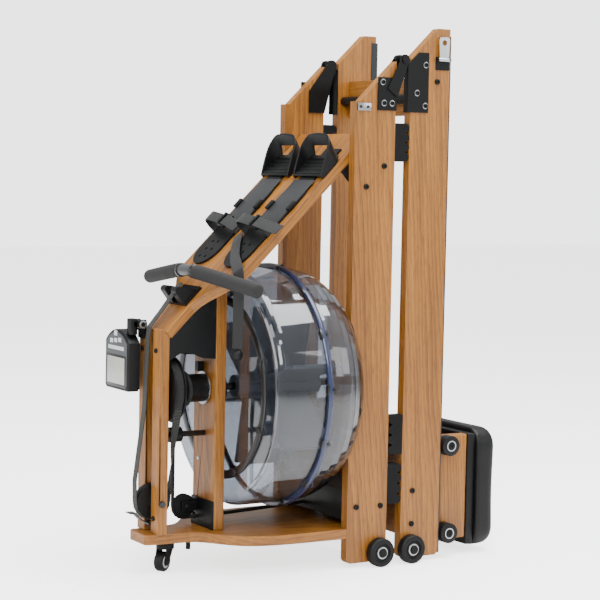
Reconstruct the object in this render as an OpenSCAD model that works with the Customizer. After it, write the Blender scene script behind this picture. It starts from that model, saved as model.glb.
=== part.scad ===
// Folding water rower, stored upright on its wheels.
// +Z up, +X towards the seat, Y across the machine, origin at the floor under its middle.

/* [Rails] */
// Thickness of a rail board
rail_t = 22.2; // [18:0.2:26]
// Width of a rail board
rail_w = 99.7; // [84:0.1:118]
// Clear width between the two rails of a pair
rail_clear = 270.6; // [250:0.1:326]
// Gap between the front and rear rails when folded
rail_gap = 36.8; // [32:0.1:44]
// Height of the fold hinge above the floor
fold_z = 1080; // [1010:1:1300]
// Height of the rail ends above the floor
rail_foot_z = 10; // [6:1:16]
// Distance from the hinge axis down to the front rail's flat end
scarf_drop = 91.4; // [80:0.2:95]
// Height of the rear rail's flat end above the hinge axis
rear_rise = 70; // [60:1:80]

/* [Boards] */
// Thickness of the base board
base_t = 21; // [18:0.5:25]
// Height of the base board's underside
base_z = 64.5; // [63:0.5:72]
// Reach of the base board in front of the rails
base_reach = 415; // [405:1:440]
// Thickness of the footboard
foot_t = 20.5; // [17:0.5:24]
// Length of the footboard along its slope
foot_len = 591; // [540:1:600]
// Slope of the footboard
foot_slope = 44.7; // [44:0.1:45.4]
// Half width of the footboard's neck
neck_half = 47; // [44:1:52]
// Thickness of the two front posts
post_t = 22; // [18:0.5:24]
// Thickness of the spine board
spine_t = 24; // [20:0.5:28]

/* [Tank] */
// Outer radius of the water tank
tank_r = 252.5; // [210:0.1:256]
// Wall of the tank
tank_wall = 4; // [3:0.5:6]
// Depth of the tank's front shell
front_shell_d = 114; // [95:1:116]
// Depth of the tank's domed rear shell
rear_shell_d = 162; // [135:1:165]
// Height of the tank's axis
tank_z = 382; // [378:1:386]
// Radius of the drive shaft
shaft_r = 8; // [7:0.5:10]
// Radius of the belt spool's flanges
spool_r = 70; // [58:0.1:78]
// Running clearance of turning parts, radial
run_fit = 0.05; // [0.02:0.01:0.09]

/* [Belt and cord] */
// Width of the drive belt
belt_w = 18; // [14:0.5:20]
// Radius of the front pulley
pulley_r = 36.5; // [30:0.5:40]
// Radius of the return cord
cord_r = 4; // [3:0.5:5]
// Radius of the return cord's pulley
cord_pulley_r = 21; // [17:0.5:22]

/* [Wheels] */
// Radius of the four rail wheels
wheel_r = 31; // [25:0.5:37]
// Width of the four rail wheels
wheel_w = 21; // [17:0.5:25]
// Radius of the caster wheel
caster_r = 21; // [18:0.5:21.5]

/* [Seat] */
// Length of the seat cushion along the rails
cushion_len = 275; // [230:1:330]
// Width of the seat cushion
cushion_w = 304; // [255:1:330]
// Thickness of the seat cushion
cushion_t = 58; // [48:1:68]
// Depth of the seat carriage's side boards
carriage_d = 81; // [70:1:97]
// Radius of the seat rollers
roller_r = 22; // [19:0.1:26.5]
// Thickness of the track's rolling leg
track_t = 3.5; // [2.5:0.5:4.5]

/* [Handle and monitor] */
// Half length of the handle across the machine
handle_half = 248; // [205:1:300]
// Radius of the handle's grips
grip_r = 15; // [13:0.5:18]
// Width of the monitor
monitor_w = 113; // [95:1:135]
// Height of the monitor
monitor_h = 127; // [122:1:140]
// Travel of a monitor key
key_travel = 0.8; // [0.6:0.1:1.2]

/* [Hidden] */
$fn = 48;

wood = "#c98a45";
steel = "#26272a";
plastic = "#1d1e20";
bright = "#b9bcc0";
rubber = "#2b2b2b";
smoke = "#5a6068";

rail_in = rail_clear / 2;
rail_out = rail_in + rail_t;
rear_x0 = rail_w + rail_gap;
rear_x1 = rear_x0 + rail_w;
fold_x = rail_w + rail_gap / 2;
scarf_gap = 1.2;
pad_gap = 1;
base_top = base_z + base_t;

post_x0 = -392;
post_x1 = post_x0 + post_t;
post_in = 15;
post_out = 49;
foot_p = [-380, 507];
foot_u = [cos(foot_slope), sin(foot_slope)];
foot_n = [-sin(foot_slope), cos(foot_slope)];
foot_half = rail_in - 2.3;
toe_y = 70;
spine_x0 = -262;
spine_x1 = spine_x0 + spine_t;

seam_x = -108;
face_x = seam_x - front_shell_d;
fillet_r = 22;
flange_r = tank_r + 9;
inner_ring_r = tank_r - 66.5;

pulley_x = -383;
pulley_z = 150;
guard_x = pulley_x - 54;
cord_y = 34.5;
cord_bracket_t = 3;
cord_pulley_x = spine_x0 - cord_bracket_t - 1 - cord_pulley_r - 4;
cord_pulley_z = 127;
cord_x = cord_pulley_x - cord_pulley_r - cord_r - 0.9;
cord_hole_z = cord_pulley_z - 23;
cord_anchor = [rail_w - 94.7, 112];
roller_z = 286;
spool_x0 = -364;
spool_x1 = spine_x0 - 3;
spool_flange_t = 3;
belt_slot = belt_w + 1;
belt_x = spool_x0 + spool_flange_t + belt_slot / 2;
cone_x0 = spool_x0 + 2 * spool_flange_t + belt_slot;
cone_x1 = cord_x - cord_r - 1;
hub_r = 29.5;
belt_wind_r = spool_r - 9;

wheel_gap = 0.8;
front_wheel_x = rail_w - 20.7;
rear_wheel_x = rear_x0 + 22.5;
caster_x = -350;
caster_trail = 12;
caster_turn = 214;
latch_out = 6.5;
latch_z = fold_z + 4;
keeper_z = fold_z - 102;

carriage_x0 = rear_x1 + track_t + 3.3;
carriage_x1 = carriage_x0 + carriage_d;
seat_plate_t = 21;
cushion_x0 = carriage_x1 + seat_plate_t;
seat_top_x = cushion_x0 + cushion_t;
carriage_y = rail_in + 0.7;
carriage_t = 22;
roller_gap = 0.3;
roller_y1 = rail_out + 6.5;
roller_x = rear_x1 + track_t + roller_gap + roller_r;
roller_low_z = 55;
roller_high_z = 248;
axle_r = 5;
seat_z0 = 8;

x_shift = -(guard_x + seat_top_x) / 2;

monitor_x0 = -433;
monitor_d = 27;
monitor_y0 = 18;
monitor_z0 = 377;
monitor_z1 = monitor_z0 + monitor_h;
tilt_x = -403;
tilt_z = monitor_z1 + 14;
lug_y0 = 22.5;
lug_y1 = 43.5;

// Everything is laid out from the front rails' front edge, then moved over the origin.
module row() translate([x_shift, 0, 0]) children();

// Both sides of the machine.
module both() {
    children();
    mirror([0, 1, 0]) children();
}

// An XZ outline, solid from y0 to y1.
module slab(y0, y1) translate([0, y1, 0]) rotate([90, 0, 0]) linear_extrude(y1 - y0) children();

// A round bar along Y.
module y_rod(x, z, r, y0, y1) translate([x, y0, z]) rotate([-90, 0, 0]) cylinder(r = r, h = y1 - y0);

// A round bar along X.
module x_rod(x0, x1, y, z, r) translate([x0, y, z]) rotate([0, 90, 0]) cylinder(r = r, h = x1 - x0);

// A box given by two corners.
module block(a, b) translate(a) cube(b - a);

// A round bar between two points.
module rod(a, b, r) {
    d = b - a;
    translate(a) rotate([0, acos(d[2] / norm(d)), atan2(d[1], d[0])]) cylinder(r = r, h = norm(d));
}

// Along the footboard's slope, +Z away from its face.
module on_board() translate([foot_p[0], 0, foot_p[1]]) rotate([0, -foot_slope, 0]) children();

// A point beside the footboard: distance up the slope, distance off the face.
function board_point(s, n) = foot_p + s * foot_u + n * foot_n;

// Height of a plane parallel to the footboard's face at x.
function board_z(x, n) = foot_p[1] + (x - foot_p[0]) * tan(foot_slope) + n / cos(foot_slope);

function smooth(t) = t <= 0 ? 0 : t >= 1 ? 1 : t * t * (3 - 2 * t);

// Tank radius at x, for the domed rear shell.
function dome(x) = tank_r * sqrt(max(0, 1 - pow((x - seam_x) / rear_shell_d, 3)));

// A closed solid through rings of points.
module sweep(rings) {
    n = len(rings[0]);
    m = len(rings);
    sides = [for (i = [0:m - 2], j = [0:n - 1], half = [0, 1])
        let (a = i * n + j, b = i * n + (j + 1) % n, c = b + n, d = a + n)
        half == 0 ? [a, b, c] : [a, c, d]];
    caps = [[for (j = [n - 1:-1:0]) j], [for (j = [0:n - 1]) (m - 1) * n + j]];
    polyhedron([for (r = rings) each r], concat(sides, caps), convexity = 6);
}

function unit(v) = v / norm(v);

function heading(p, i) = unit(p[min(i + 1, len(p) - 1)] - p[max(i - 1, 0)]);

// Rings of a round cord along points.
function cord_rings(p, r, side = [0, 1, 0]) = [for (i = [0:len(p) - 1])
    let (t = heading(p, i), a = unit(cross(t, side)), b = cross(t, a))
    [for (k = [0:7]) p[i] + r * (cos(45 * k) * b - sin(45 * k) * a)]];

// Rings of a flat strap along points, with its width direction at each.
function strap_rings(p, across, w, t) = [for (i = [0:len(p) - 1])
    let (d = heading(p, i), s = unit(across[i] - (across[i] * d) * d), n = cross(d, s))
    [p[i] - s * w / 2 - n * t / 2, p[i] - s * w / 2 + n * t / 2,
     p[i] + s * w / 2 + n * t / 2, p[i] + s * w / 2 - n * t / 2]];

// Screw heads across the machine, both sides.
module side_bolts(places, y, r, h) for (p = places) both() y_rod(p[0], p[1], r, y, y + h);

// ---- wooden frame ----

module front_rail_shape() {
    top = fold_z - scarf_drop;
    hull() {
        translate([12, rail_foot_z + 12]) circle(r = 12);
        translate([rail_w - 12, rail_foot_z + 12]) circle(r = 12);
        translate([0, 200]) square([rail_w, 10]);
    }
    polygon([[0, 200], [rail_w, 200], [rail_w, fold_z - 3.3 - scarf_gap], [11, top], [0, top]]);
}

// The tank with room around it, cut out of the rails.
module tank_room(gap) {
    outline = [for (i = [0:14]) let (x = seam_x + rear_shell_d * sin(90 * i / 14)) [x, dome(x) + gap]];
    about_tank()
        polygon(concat([[0, seam_x]], [for (p = outline) [p[1], p[0]]], [[0, seam_x + rear_shell_d + gap]]));
}

module front_rail() difference() {
    slab(rail_in, rail_out) front_rail_shape();
    tank_room(2);
    y_rod(front_wheel_x, wheel_r, 6, rail_in - 1, rail_out + 1);
}

module front_rail_near() color(wood) row() mirror([0, 1, 0]) front_rail();

module front_rail_far() color(wood) row() front_rail();

module rear_rail() difference() {
    slab(rail_in, rail_out) {
        hull() {
            translate([rear_x0 + 12, rail_foot_z + 12]) circle(r = 12);
            translate([rear_x1 - 12, rail_foot_z + 12]) circle(r = 12);
            translate([rear_x0, 200]) square([rail_w, 10]);
        }
        polygon([[rear_x0, 200], [rear_x1, 200], [rear_x1, fold_z + rear_rise],
            [rear_x0 + rear_rise - 1.5, fold_z + rear_rise], [rear_x0, fold_z + 3.5]]);
    }
    y_rod(rear_wheel_x, wheel_r, 6, rail_in - 1, rail_out + 1);
}

module rear_rail_near() color(wood) row() mirror([0, 1, 0]) rear_rail();

module rear_rail_far() color(wood) row() rear_rail();

// Half width of the base board: a narrow nose that flares out to the rails.
function base_half(x) = let (t = max(0, (x + 330) / 312), c = pow(0.218, 3))
    46 + (rail_out - 44.5) * pow(t, 3) / (pow(t, 3) + c);

module base_half_shape() {
    nose = [[-base_reach, -1], [-base_reach, 34], [-base_reach + 6, 40]];
    flare = [for (x = [-330:13:-18]) [x, base_half(x)]];
    tongue = [[0, rail_out], [0, rail_in], [rail_w - 5, rail_in], [rail_w - 5, -1]];
    polygon(concat(nose, flare, tongue));
}

module base_board() color(wood) row() difference() {
    translate([0, 0, base_z]) linear_extrude(base_t) both() base_half_shape();
    translate([-296, 0, base_z - 1]) cylinder(r = 5, h = base_t + 2);
}

module front_posts() color(wood) row() both() difference() {
    post_top = 512;
    chamfer = foot_p[0] + foot_p[1] - 0.5;
    slab(post_in, post_out) polygon([[post_x0, base_top], [post_x1, base_top],
        [post_x1, chamfer - post_x1], [chamfer - post_top, post_top], [post_x0, post_top]]);
    y_rod(pulley_x, pulley_z, 6, post_in - 1, post_out + 1);
}

module spine_board() color(wood) row() difference() {
    slab(-post_out, post_out) polygon([[spine_x0, base_top], [spine_x1, base_top],
        [spine_x1, board_z(spine_x1, -foot_t - 0.05)], [spine_x0, board_z(spine_x0, -foot_t - 0.05)]]);
    x_rod(spine_x0 - 1, spine_x1 + 1, 0, tank_z, shaft_r + 12);
    x_rod(spine_x0 - 1, spine_x1 + 1, cord_y, cord_hole_z, cord_r + 4);
}

module footboard() color(wood) row() on_board() translate([0, 0, -foot_t]) linear_extrude(foot_t) {
    half = [for (s = [75:15:180]) [s, neck_half + (foot_half - neck_half) * smooth((s - 75) / 105)]];
    both() polygon(concat([[0, -1], [0, neck_half]], half, [[foot_len, foot_half], [foot_len, -1]]));
}

module front_cross_beam() color(steel) row() difference() {
    block([5, -rail_in, 100], [rail_w, rail_in, 165]);
    block([8, -rail_in - 1, 103], [rail_w + 1, rail_in + 1, 162]);
}

module corner_plates() color(steel) row() {
    both() slab(foot_half + 0.1, rail_in)
        polygon([[-18.5, 840.6], [0, 820], [34, 842], [34, 900], [0, 858]]);
    side = rail_out + 2;
    mirror([0, 1, 0]) {
        block([4, rail_out, keeper_z - 8], [37, side, keeper_z + 8]);
        for (x = [11, 29]) y_rod(x, keeper_z, 3, side, side + 2);
    }
}

// ---- drive: shroud, tank, shaft, belt ----

module neck_shroud() color(plastic) row() {
    low = 447;
    both() slab(neck_half - 3, neck_half) polygon([[post_x1 + 0.3, low], [-345, low + 14], [-320, low + 14],
        [-290, low + 2], [spine_x0 - 0.3, low], [spine_x0 - 0.3, board_z(spine_x0 - 0.3, -foot_t - 0.3)],
        [post_x1 + 5, board_z(post_x1 + 5, -foot_t - 0.3)], [post_x1 + 0.3, board_z(post_x1 + 5, -foot_t - 0.3)]]);
    slab(-neck_half + 2, neck_half - 2) polygon([[-350, board_z(-350, -foot_t - 0.3)],
        [spine_x0 - 0.3, board_z(spine_x0 - 0.3, -foot_t - 0.3)],
        [spine_x0 - 0.3, board_z(spine_x0 - 0.3, -foot_t - 3.3)], [-350, board_z(-350, -foot_t - 3.3)]]);
}

module about_tank() translate([0, 0, tank_z]) rotate([0, 90, 0]) rotate_extrude($fn = 96) children();

module tank_front_shell() color(smoke, 0.6) row() about_tank() {
    f = fillet_r;
    outer = [for (a = [0:15:90]) [tank_r - f + f * cos(a), face_x + f - f * sin(a)]];
    inner = [for (a = [90:-15:0]) [tank_r - f + (f - tank_wall) * cos(a), face_x + f - (f - tank_wall) * sin(a)]];
    bore = shaft_r + 8;
    polygon(concat([[tank_r, seam_x - 1]], outer, [[bore, face_x], [bore, face_x + tank_wall]], inner,
        [[tank_r - tank_wall, seam_x - 1]]));
}

module tank_rear_shell() color(smoke, 0.6) row() about_tank() {
    depth = rear_shell_d - tank_wall;
    outer = [for (i = [0:14]) let (x = rear_shell_d * sin(90 * i / 14))
        [tank_r * sqrt(max(0, 1 - pow(x / rear_shell_d, 3))), seam_x + 1 + x - (i == 0 ? 0 : 1)]];
    inner = [for (i = [14:-1:0]) let (x = depth * sin(90 * i / 14))
        [(tank_r - tank_wall) * sqrt(max(0, 1 - pow(x / depth, 3))), seam_x + 1 + x - (i == 0 ? 0 : 1)]];
    polygon(concat(outer, inner));
}

module tank_rings() color("#252c4a") row() {
    lip = tank_r + 0.2;
    about_tank() polygon([[tank_r - tank_wall, seam_x - 0.9], [lip, seam_x - 0.9], [lip, seam_x - 5],
        [flange_r, seam_x - 5], [flange_r, seam_x + 5], [lip, seam_x + 5], [lip, seam_x + 0.9],
        [tank_r - tank_wall, seam_x + 0.9]]);
    about_tank() translate([inner_ring_r - 9, face_x - 4]) square([18, 3.9]);
    for (a = [22.5:45:359]) translate([0, inner_ring_r * cos(a), tank_z + inner_ring_r * sin(a)])
        x_rod(face_x - 9, face_x - 4, 0, 0, 8);
}

module bearing_housing() color(plastic) row() {
    difference() {
        union() {
            x_rod(spine_x1, spine_x1 + 6, 0, tank_z, 44);
            x_rod(spine_x1, face_x - 0.5, 0, tank_z, 26);
        }
        x_rod(spine_x1 - 1, face_x + 1, 0, tank_z, shaft_r + run_fit);
    }
    block([spine_x0 - 14, 6, 416], [spine_x0, 20, 436]);
}

module drive_shaft() color(bright) row() x_rod(spool_x0 - 4, seam_x + rear_shell_d - 14, 0, tank_z, shaft_r);

module paddle() color("#8a8d90") row() difference() {
    blade_r = tank_r - 71.5;
    union() {
        x_rod(-190, 10, 0, tank_z, 24);
        for (a = [12:60:359]) translate([0, 0, tank_z]) rotate([a, 0, 0]) {
            block([-165, -2, 20], [-25, 2, blade_r - 6]);
            block([-150, -4, blade_r - 35], [-40, 4, blade_r]);
        }
    }
    x_rod(-191, 11, 0, tank_z, shaft_r + 0.02);
}

module belt_spool() color(plastic) row() difference() {
    union() {
        x_rod(spool_x0, spool_x0 + spool_flange_t, 0, tank_z, spool_r);
        x_rod(spool_x0, cone_x0, 0, tank_z, belt_wind_r - 1.5);
        x_rod(cone_x0 - spool_flange_t, cone_x0, 0, tank_z, spool_r);
        translate([cone_x0, 0, tank_z]) rotate([0, 90, 0])
            cylinder(r1 = spool_r - 12, r2 = 35, h = cone_x1 - cone_x0);
        x_rod(cone_x0, spool_x1, 0, tank_z, hub_r);
    }
    x_rod(spool_x0 - 1, spool_x1 + 1, 0, tank_z, shaft_r + run_fit);
}

module front_pulley() color(plastic) row() difference() {
    union() {
        y_rod(pulley_x, pulley_z, pulley_r, -belt_w / 2 - 1, belt_w / 2 + 1);
        y_rod(pulley_x, pulley_z, 12, -post_in + 1, post_in - 1);
    }
    y_rod(pulley_x, pulley_z, 6 + run_fit, -post_in, post_in);
}

module guide_roller() color(plastic) row() difference() {
    x_rod(-347, -319, 0, roller_z, 16);
    x_rod(-348, -318, 0, roller_z, 6 + run_fit);
}

module cord_pulley() color(plastic) row() difference() {
    translate([cord_pulley_x, cord_y, cord_pulley_z]) rotate([90, 0, 0]) rotate_extrude()
        polygon([[0, -6], [cord_pulley_r + 4, -6], [cord_pulley_r, -2], [cord_pulley_r, 2],
            [cord_pulley_r + 4, 6], [0, 6]]);
    y_rod(cord_pulley_x, cord_pulley_z, 4 + run_fit, cord_y - 7, cord_y + 7);
}

module pulley_axles() color(bright) row() {
    y_rod(pulley_x, pulley_z, 6, -post_out - 6, post_out + 6);
    x_rod(-352, spine_x0, 0, roller_z, 6);
    x_rod(-356, -352, 0, roller_z, 9);
    y_rod(cord_pulley_x, cord_pulley_z, 4, cord_y - 14, cord_y + 14);
}

module pulley_bracket() color(steel) row() difference() {
    union() {
        block([spine_x0 - cord_bracket_t, -post_out, base_top], [spine_x0, post_out, 146]);
        for (y = [cord_y - 10, cord_y + 7.5]) block([cord_pulley_x - 9, y, 116], [spine_x0, y + 2.5, 138]);
    }
    y_rod(cord_pulley_x, cord_pulley_z, 4, cord_y - 15, cord_y + 15);
    x_rod(spine_x0 - cord_bracket_t - 1, spine_x0 + 1, cord_y, cord_hole_z, cord_r + 4);
}

module belt_guard() color("#9a9da1") row() {
    r = pulley_r + 8;
    slab(-12, 12) {
        difference() {
            translate([pulley_x, pulley_z]) circle(r = r + 2);
            translate([pulley_x, pulley_z]) circle(r = r);
            translate([pulley_x - 60, pulley_z - 22]) square([120, 90]);
            translate([pulley_x + 8, pulley_z - 60]) square([60, 60]);
        }
        lip_x = pulley_x - sqrt(r * r - 22 * 22);
        polygon([[guard_x, pulley_z - 23], [guard_x, pulley_z - 21], [lip_x, pulley_z - 21.5],
            [lip_x, pulley_z - 24]]);
    }
    block([pulley_x - 12, -12, pulley_z - r - 4], [pulley_x + 12, 12, pulley_z - r - 1]);
}

module return_cord() color("#17181a") row() {
    r = cord_pulley_x - cord_x;
    drop = [for (z = [tank_z:-36:cord_pulley_z]) [cord_x, cord_y, z]];
    turn = [for (a = [180:22.5:270]) [cord_pulley_x + r * cos(a), cord_y, cord_pulley_z + r * sin(a)]];
    run = [[-240, cord_y, 102], [-180, cord_y, 103], [-90, cord_y, 107], [cord_anchor[0], cord_y, cord_anchor[1]]];
    sweep(cord_rings(concat(drop, turn, run), cord_r));
}

module drive_belt() color("#3b3f36") row() {
    r = pulley_r + 2;
    free = [[-322, 0, 604], [-346.7, 0, 573], [-364, 0, 550], [-393, 0, 515], [-397, 0, 490], [-403, 0, 341],
        [pulley_x - r - 1, 0, 195]];
    turn = [for (a = [180:20:360]) [pulley_x + r * cos(a), 0, pulley_z + r * sin(a)]];
    low = [pulley_x + r, 0, pulley_z + 8];
    lead = asin(belt_wind_r / (tank_z - low[2]));
    top = [belt_x, -belt_wind_r * cos(lead), tank_z - belt_wind_r * sin(lead)];
    rise = [for (i = [0.12:0.11:0.95]) [low[0] + (top[0] - low[0]) * smooth(1.35 * i),
        low[1] + (top[1] - low[1]) * i, low[2] + (top[2] - low[2]) * i]];
    path = concat(free, turn, [low], rise, [top]);
    first = len(free) + len(turn);
    across = [for (i = [0:len(path) - 1]) let (a = 90 * smooth((i - first) / (len(rise))))
        [sin(a), cos(a), 0]];
    sweep(strap_rings(path, across, belt_w, 1.8));
}

// ---- steel and small fittings of the front frame ----

module handle_rest() color(plastic) row() on_board() difference() {
    union() {
        translate([72, -38, 0.1]) cube([52, 76, 6]);
        both() slab(13, 35) hull() {
            translate([72, 0.2]) square([46, 2]);
            translate([84, 34]) circle(r = 8, $fn = 32);
        }
    }
    y_rod(138.1, 37.1, 14.2, -60, 60);
}

module monitor_bracket() color(steel) row() difference() {
    union() {
        for (y = [16, 44]) {
            block([tilt_x, y, tilt_z - 14], [post_x0, y + 6, tilt_z + 9]);
            y_rod(tilt_x, tilt_z, 9, y, y + 6);
        }
        block([post_x0 - 4, 16, tilt_z - 30], [post_x0, 49, tilt_z - 9]);
        y_rod(tilt_x, tilt_z, 3, 12, 52);
        y_rod(tilt_x, tilt_z, 10, belt_w / 2 + 1, 13);
    }
}

module toe_plates() color("#8d9093") row() both() on_board() translate([0, toe_y, 0.05]) {
    difference() {
        linear_extrude(5) hull() {
            translate([231, 0]) circle(r = 45);
            translate([395, 0]) circle(r = 45);
        }
        for (s = [204:22:250], y = [-12, 12]) translate([s, y - 3, -1]) cube([6, 6, 8]);
    }
    translate([440.5, -30, 0]) cube([100, 60, 4]);
}

module toe_straps() color("#141517") row() both() {
    arch = [for (a = [0:15:180]) let (p = board_point(292, 1.5 + 42 * sin(a)))
        [p[0], toe_y - 48 * cos(a), p[1]]];
    sweep(strap_rings(arch, [for (p = arch) [foot_u[0], 0, foot_u[1]]], 26, 2));
}

module heel_strap() color("#141517") row() {
    lie = [[-186, -0.03, 3], [-203, 0.165, 8], [-222, 0.376, 8.5], [-238, 0.586, 8.5], [-248, 0.774, 8],
        [-255, 0.917, 7], [-259, 1, 4.5]];
    fall_y = -foot_half - 4.5;
    fall = [for (z = [612, 585, 550, 510, 476.3]) [-260, fall_y, z]];
    path = concat([for (p = lie) [p[0], -foot_half * p[1], board_z(p[0], p[2])]], fall);
    across = [for (i = [0:len(path) - 1]) i < len(lie) ? [0.55, -0.55, 0.6] : [1, 0, 0]];
    sweep(strap_rings(path, across, 26, 2));
    translate([-260, fall_y, 464]) sphere(r = 12);
}

module hinge_pin_hole(y0, y1) y_rod(fold_x, fold_z, 6 + run_fit, y0, y1);

module front_hinge_brackets() color(steel) row() both() {
    outer = rail_out + 3;
    slab(rail_out, outer) polygon([[rail_w - 46.2, fold_z - 108], [rail_w, fold_z - 108], [rail_w, fold_z - 39],
        [rail_w - 46.2, fold_z - 39]]);
    slab(outer, outer + 3) polygon([[rail_w - 24, fold_z - 62], [rail_w, fold_z - 80],
        [fold_x + 9, fold_z - 4], [fold_x - 7, fold_z + 8]]);
    y_rod(fold_x, fold_z, 11, outer, outer + 3);
    y_rod(fold_x, fold_z, 8, outer + 3, outer + 6);
    y_rod(fold_x, fold_z, 6, rail_in - 2, outer + 1);
    slab(rail_in - 3.5, rail_in - 0.5) {
        polygon([[rail_w - 40, fold_z - 108], [rail_w, fold_z - 108], [fold_x + 9, fold_z - 4],
            [fold_x - 7, fold_z + 8], [rail_w - 40, fold_z - 60]]);
        translate([fold_x, fold_z]) circle(r = 11);
    }
    y_rod(rail_w - 20, fold_z - 90, 7, rail_in - 0.6, rail_in);
}

module rear_hinge_plates() color(steel) row() {
    x0 = rear_x0 - 9;
    both() difference() {
        union() {
            slab(rail_out, rail_out + 2.5) {
                polygon([[x0, fold_z - 110], [x0 + 53.5, fold_z - 110], [x0 + 53.5, fold_z + 17],
                    [x0 + 28, fold_z + 17], [x0, fold_z - 9]]);
                translate([fold_x, fold_z]) circle(r = 11);
            }
            block([rear_x0 - 3, rail_in, fold_z - 110], [rear_x0, rail_out + 2.5, fold_z - 10]);
            slab(rail_in + 3, rail_in + 8) {
                translate([fold_x, fold_z]) circle(r = 11);
                polygon([[fold_x, fold_z - 11], [rear_x0 - 0.5, fold_z - 24], [rear_x0 - 0.5, fold_z - 10],
                    [fold_x + 6, fold_z + 8]]);
            }
        }
        hinge_pin_hole(rail_in, rail_out + 4);
    }
    mirror([0, 1, 0]) {
        block([199, rail_out, latch_z - 22], [234, rail_out + 2, latch_z + 6]);
        x_rod(199, 234, rail_out + latch_out, latch_z, 2);
        for (x = [199, 231])
            block([x, rail_out + 1, latch_z - 3], [x + 3, rail_out + latch_out + 2.5, latch_z + 3]);
    }
}

module latch_lever() color(bright) row() mirror([0, 1, 0]) difference() {
    axis_y = rail_out + latch_out;
    union() {
        x_rod(202.3, 230.7, axis_y, latch_z, 3.8);
        hull() {
            block([205, axis_y - 1, latch_z], [228, axis_y + 1, latch_z + 6]);
            for (x = [210, 223]) y_rod(x, latch_z + 41, 7, axis_y - 1, axis_y + 1, $fn = 32);
        }
    }
    x_rod(202, 231, axis_y, latch_z, 2 + run_fit);
    y_rod(216.5, latch_z + 36, 6, axis_y - 2, axis_y + 2);
}

// A rubber foot with a rounded, wavy tread.
module wave_foot(x0, x1, z0, z1) {
    tread = x1 > x0 ? x1 - 9 : x1 + 9;
    slab(rail_in, rail_out) {
        translate([min(x0, tread), z0]) square([abs(tread - x0), z1 - z0]);
        for (i = [0:3]) translate([tread, z0 + 9.5 + i * (z1 - z0 - 19) / 3]) circle(r = 9);
    }
}

module front_feet() color(rubber) row() both() {
    wave_foot(rail_w, rear_x0 - pad_gap, 865, 946);
    wave_foot(rail_w, rear_x0 - pad_gap, 131, 218);
}

module rear_feet() color(rubber) row() both() wave_foot(rear_x0, rail_w + pad_gap, 238, 323);

module rear_cross_boards() color(wood) row() {
    block([154, -rail_in, 55], [176, rail_in, 250]);
    block([165, -rail_in, fold_z - 115], [187, rail_in, fold_z - 35]);
}

module front_bolts() color(steel) row() {
    side_bolts([[73.4, 855], [29.5, 811], [22, 131], [83, 130]], rail_out, 6, 3);
    side_bolts([[64, fold_z - 49], [67.8, fold_z - 93], [88, fold_z - 93]], rail_out + 3, 5, 2.8);
    both() {
        y_rod(front_wheel_x, wheel_r, 6, rail_in - 4, rail_out + wheel_w + 3);
        y_rod(front_wheel_x, wheel_r, 10, rail_in - 7, rail_in - 4);
        y_rod(front_wheel_x, wheel_r, 9, rail_out + wheel_w + 2.2, rail_out + wheel_w + 4);
    }
    for (y = [-32, 32]) x_rod(post_x0 - 3, post_x0, y, 467, 5);
    x_rod(post_x0 - 3, post_x0, -30, 118, 5);
}

module rear_bolts() color(steel) row() {
    side_bolts([[204, fold_z - 43], [165, 156], [164.4, 84]], rail_out, 6, 3);
    side_bolts([[172.3, fold_z - 9], [151, fold_z - 69], [172.3, fold_z - 95.5]], rail_out + 2.5, 5, 3);
    both() {
        y_rod(rear_wheel_x, wheel_r, 6, rail_in - 4, rail_out + wheel_w + 3);
        y_rod(rear_wheel_x, wheel_r, 10, rail_in - 7, rail_in - 4);
        y_rod(rear_wheel_x, wheel_r, 9, rail_out + wheel_w + 2.2, rail_out + wheel_w + 4);
    }
    y_rod(153.5, fold_z - 80, 10, -rail_in, rail_in);
}

// ---- wheels ----

module rail_wheel(x) difference() {
    translate([x, rail_out + wheel_gap, wheel_r]) rotate([-90, 0, 0]) rotate_extrude()
        polygon([[0, 0], [wheel_r - 3, 0], [wheel_r, 3], [wheel_r, wheel_w - 3], [wheel_r - 3, wheel_w],
            [20, wheel_w], [18, wheel_w - 4], [12, wheel_w - 4], [11, wheel_w], [0, wheel_w]]);
    y_rod(x, wheel_r, 6 + run_fit, rail_out, rail_out + wheel_w + 3);
}

module front_wheels() color(rubber) row() both() rail_wheel(front_wheel_x);

module rear_wheels() color(rubber) row() both() rail_wheel(rear_wheel_x);

module at_caster() translate([caster_x, 0, 0]) rotate([0, 0, caster_turn]) children();

module caster_plate() color(steel) row() {
    block([-387, -24, base_z - 4], [-318, 24, base_z]);
    translate([caster_x, 0, 46]) cylinder(r = 5, h = base_z - 4 - 46);
    translate([-296, 0, 40]) cylinder(r = 5, h = base_z + 10 - 40);
}

module caster_fork() color(steel) row() at_caster() difference() {
    union() {
        translate([0, 0, caster_r * 2 + 5]) cylinder(r = 19, h = base_z - 4.5 - caster_r * 2 - 5);
        for (y = [-13, 10.5]) slab(y, y + 2.5) hull() {
            translate([-12, caster_r * 2 + 5]) square([26, 4]);
            translate([caster_trail, caster_r]) circle(r = 8, $fn = 32);
        }
        y_rod(caster_trail, caster_r, 4, -14, 14);
    }
    translate([0, 0, caster_r * 2]) cylinder(r = 5 + run_fit, h = 30);
}

module caster_wheel() color(rubber) row() at_caster() difference() {
    translate([caster_trail, -9.5, caster_r]) rotate([-90, 0, 0]) rotate_extrude()
        polygon([[0, 0], [caster_r - 2, 0], [caster_r, 3], [caster_r, 16], [caster_r - 2, 19], [0, 19]]);
    y_rod(caster_trail, caster_r, 4 + run_fit, -12, 12);
}

// ---- handle, monitor, heel cups ----

function handle_mid(side) = [-308, side * 30, 630.5];

function handle_end(side) = [-274, side * handle_half, 601.5];

module handle_bar() color("#8b8e92") row() {
    y_rod(-308, 630.5, 12.5, -30, 30);
    for (side = [-1, 1]) {
        translate(handle_mid(side)) sphere(r = 12.5);
        rod(handle_mid(side), handle_mid(side) + 0.93 * (handle_end(side) - handle_mid(side)), 12.5);
    }
}

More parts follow.
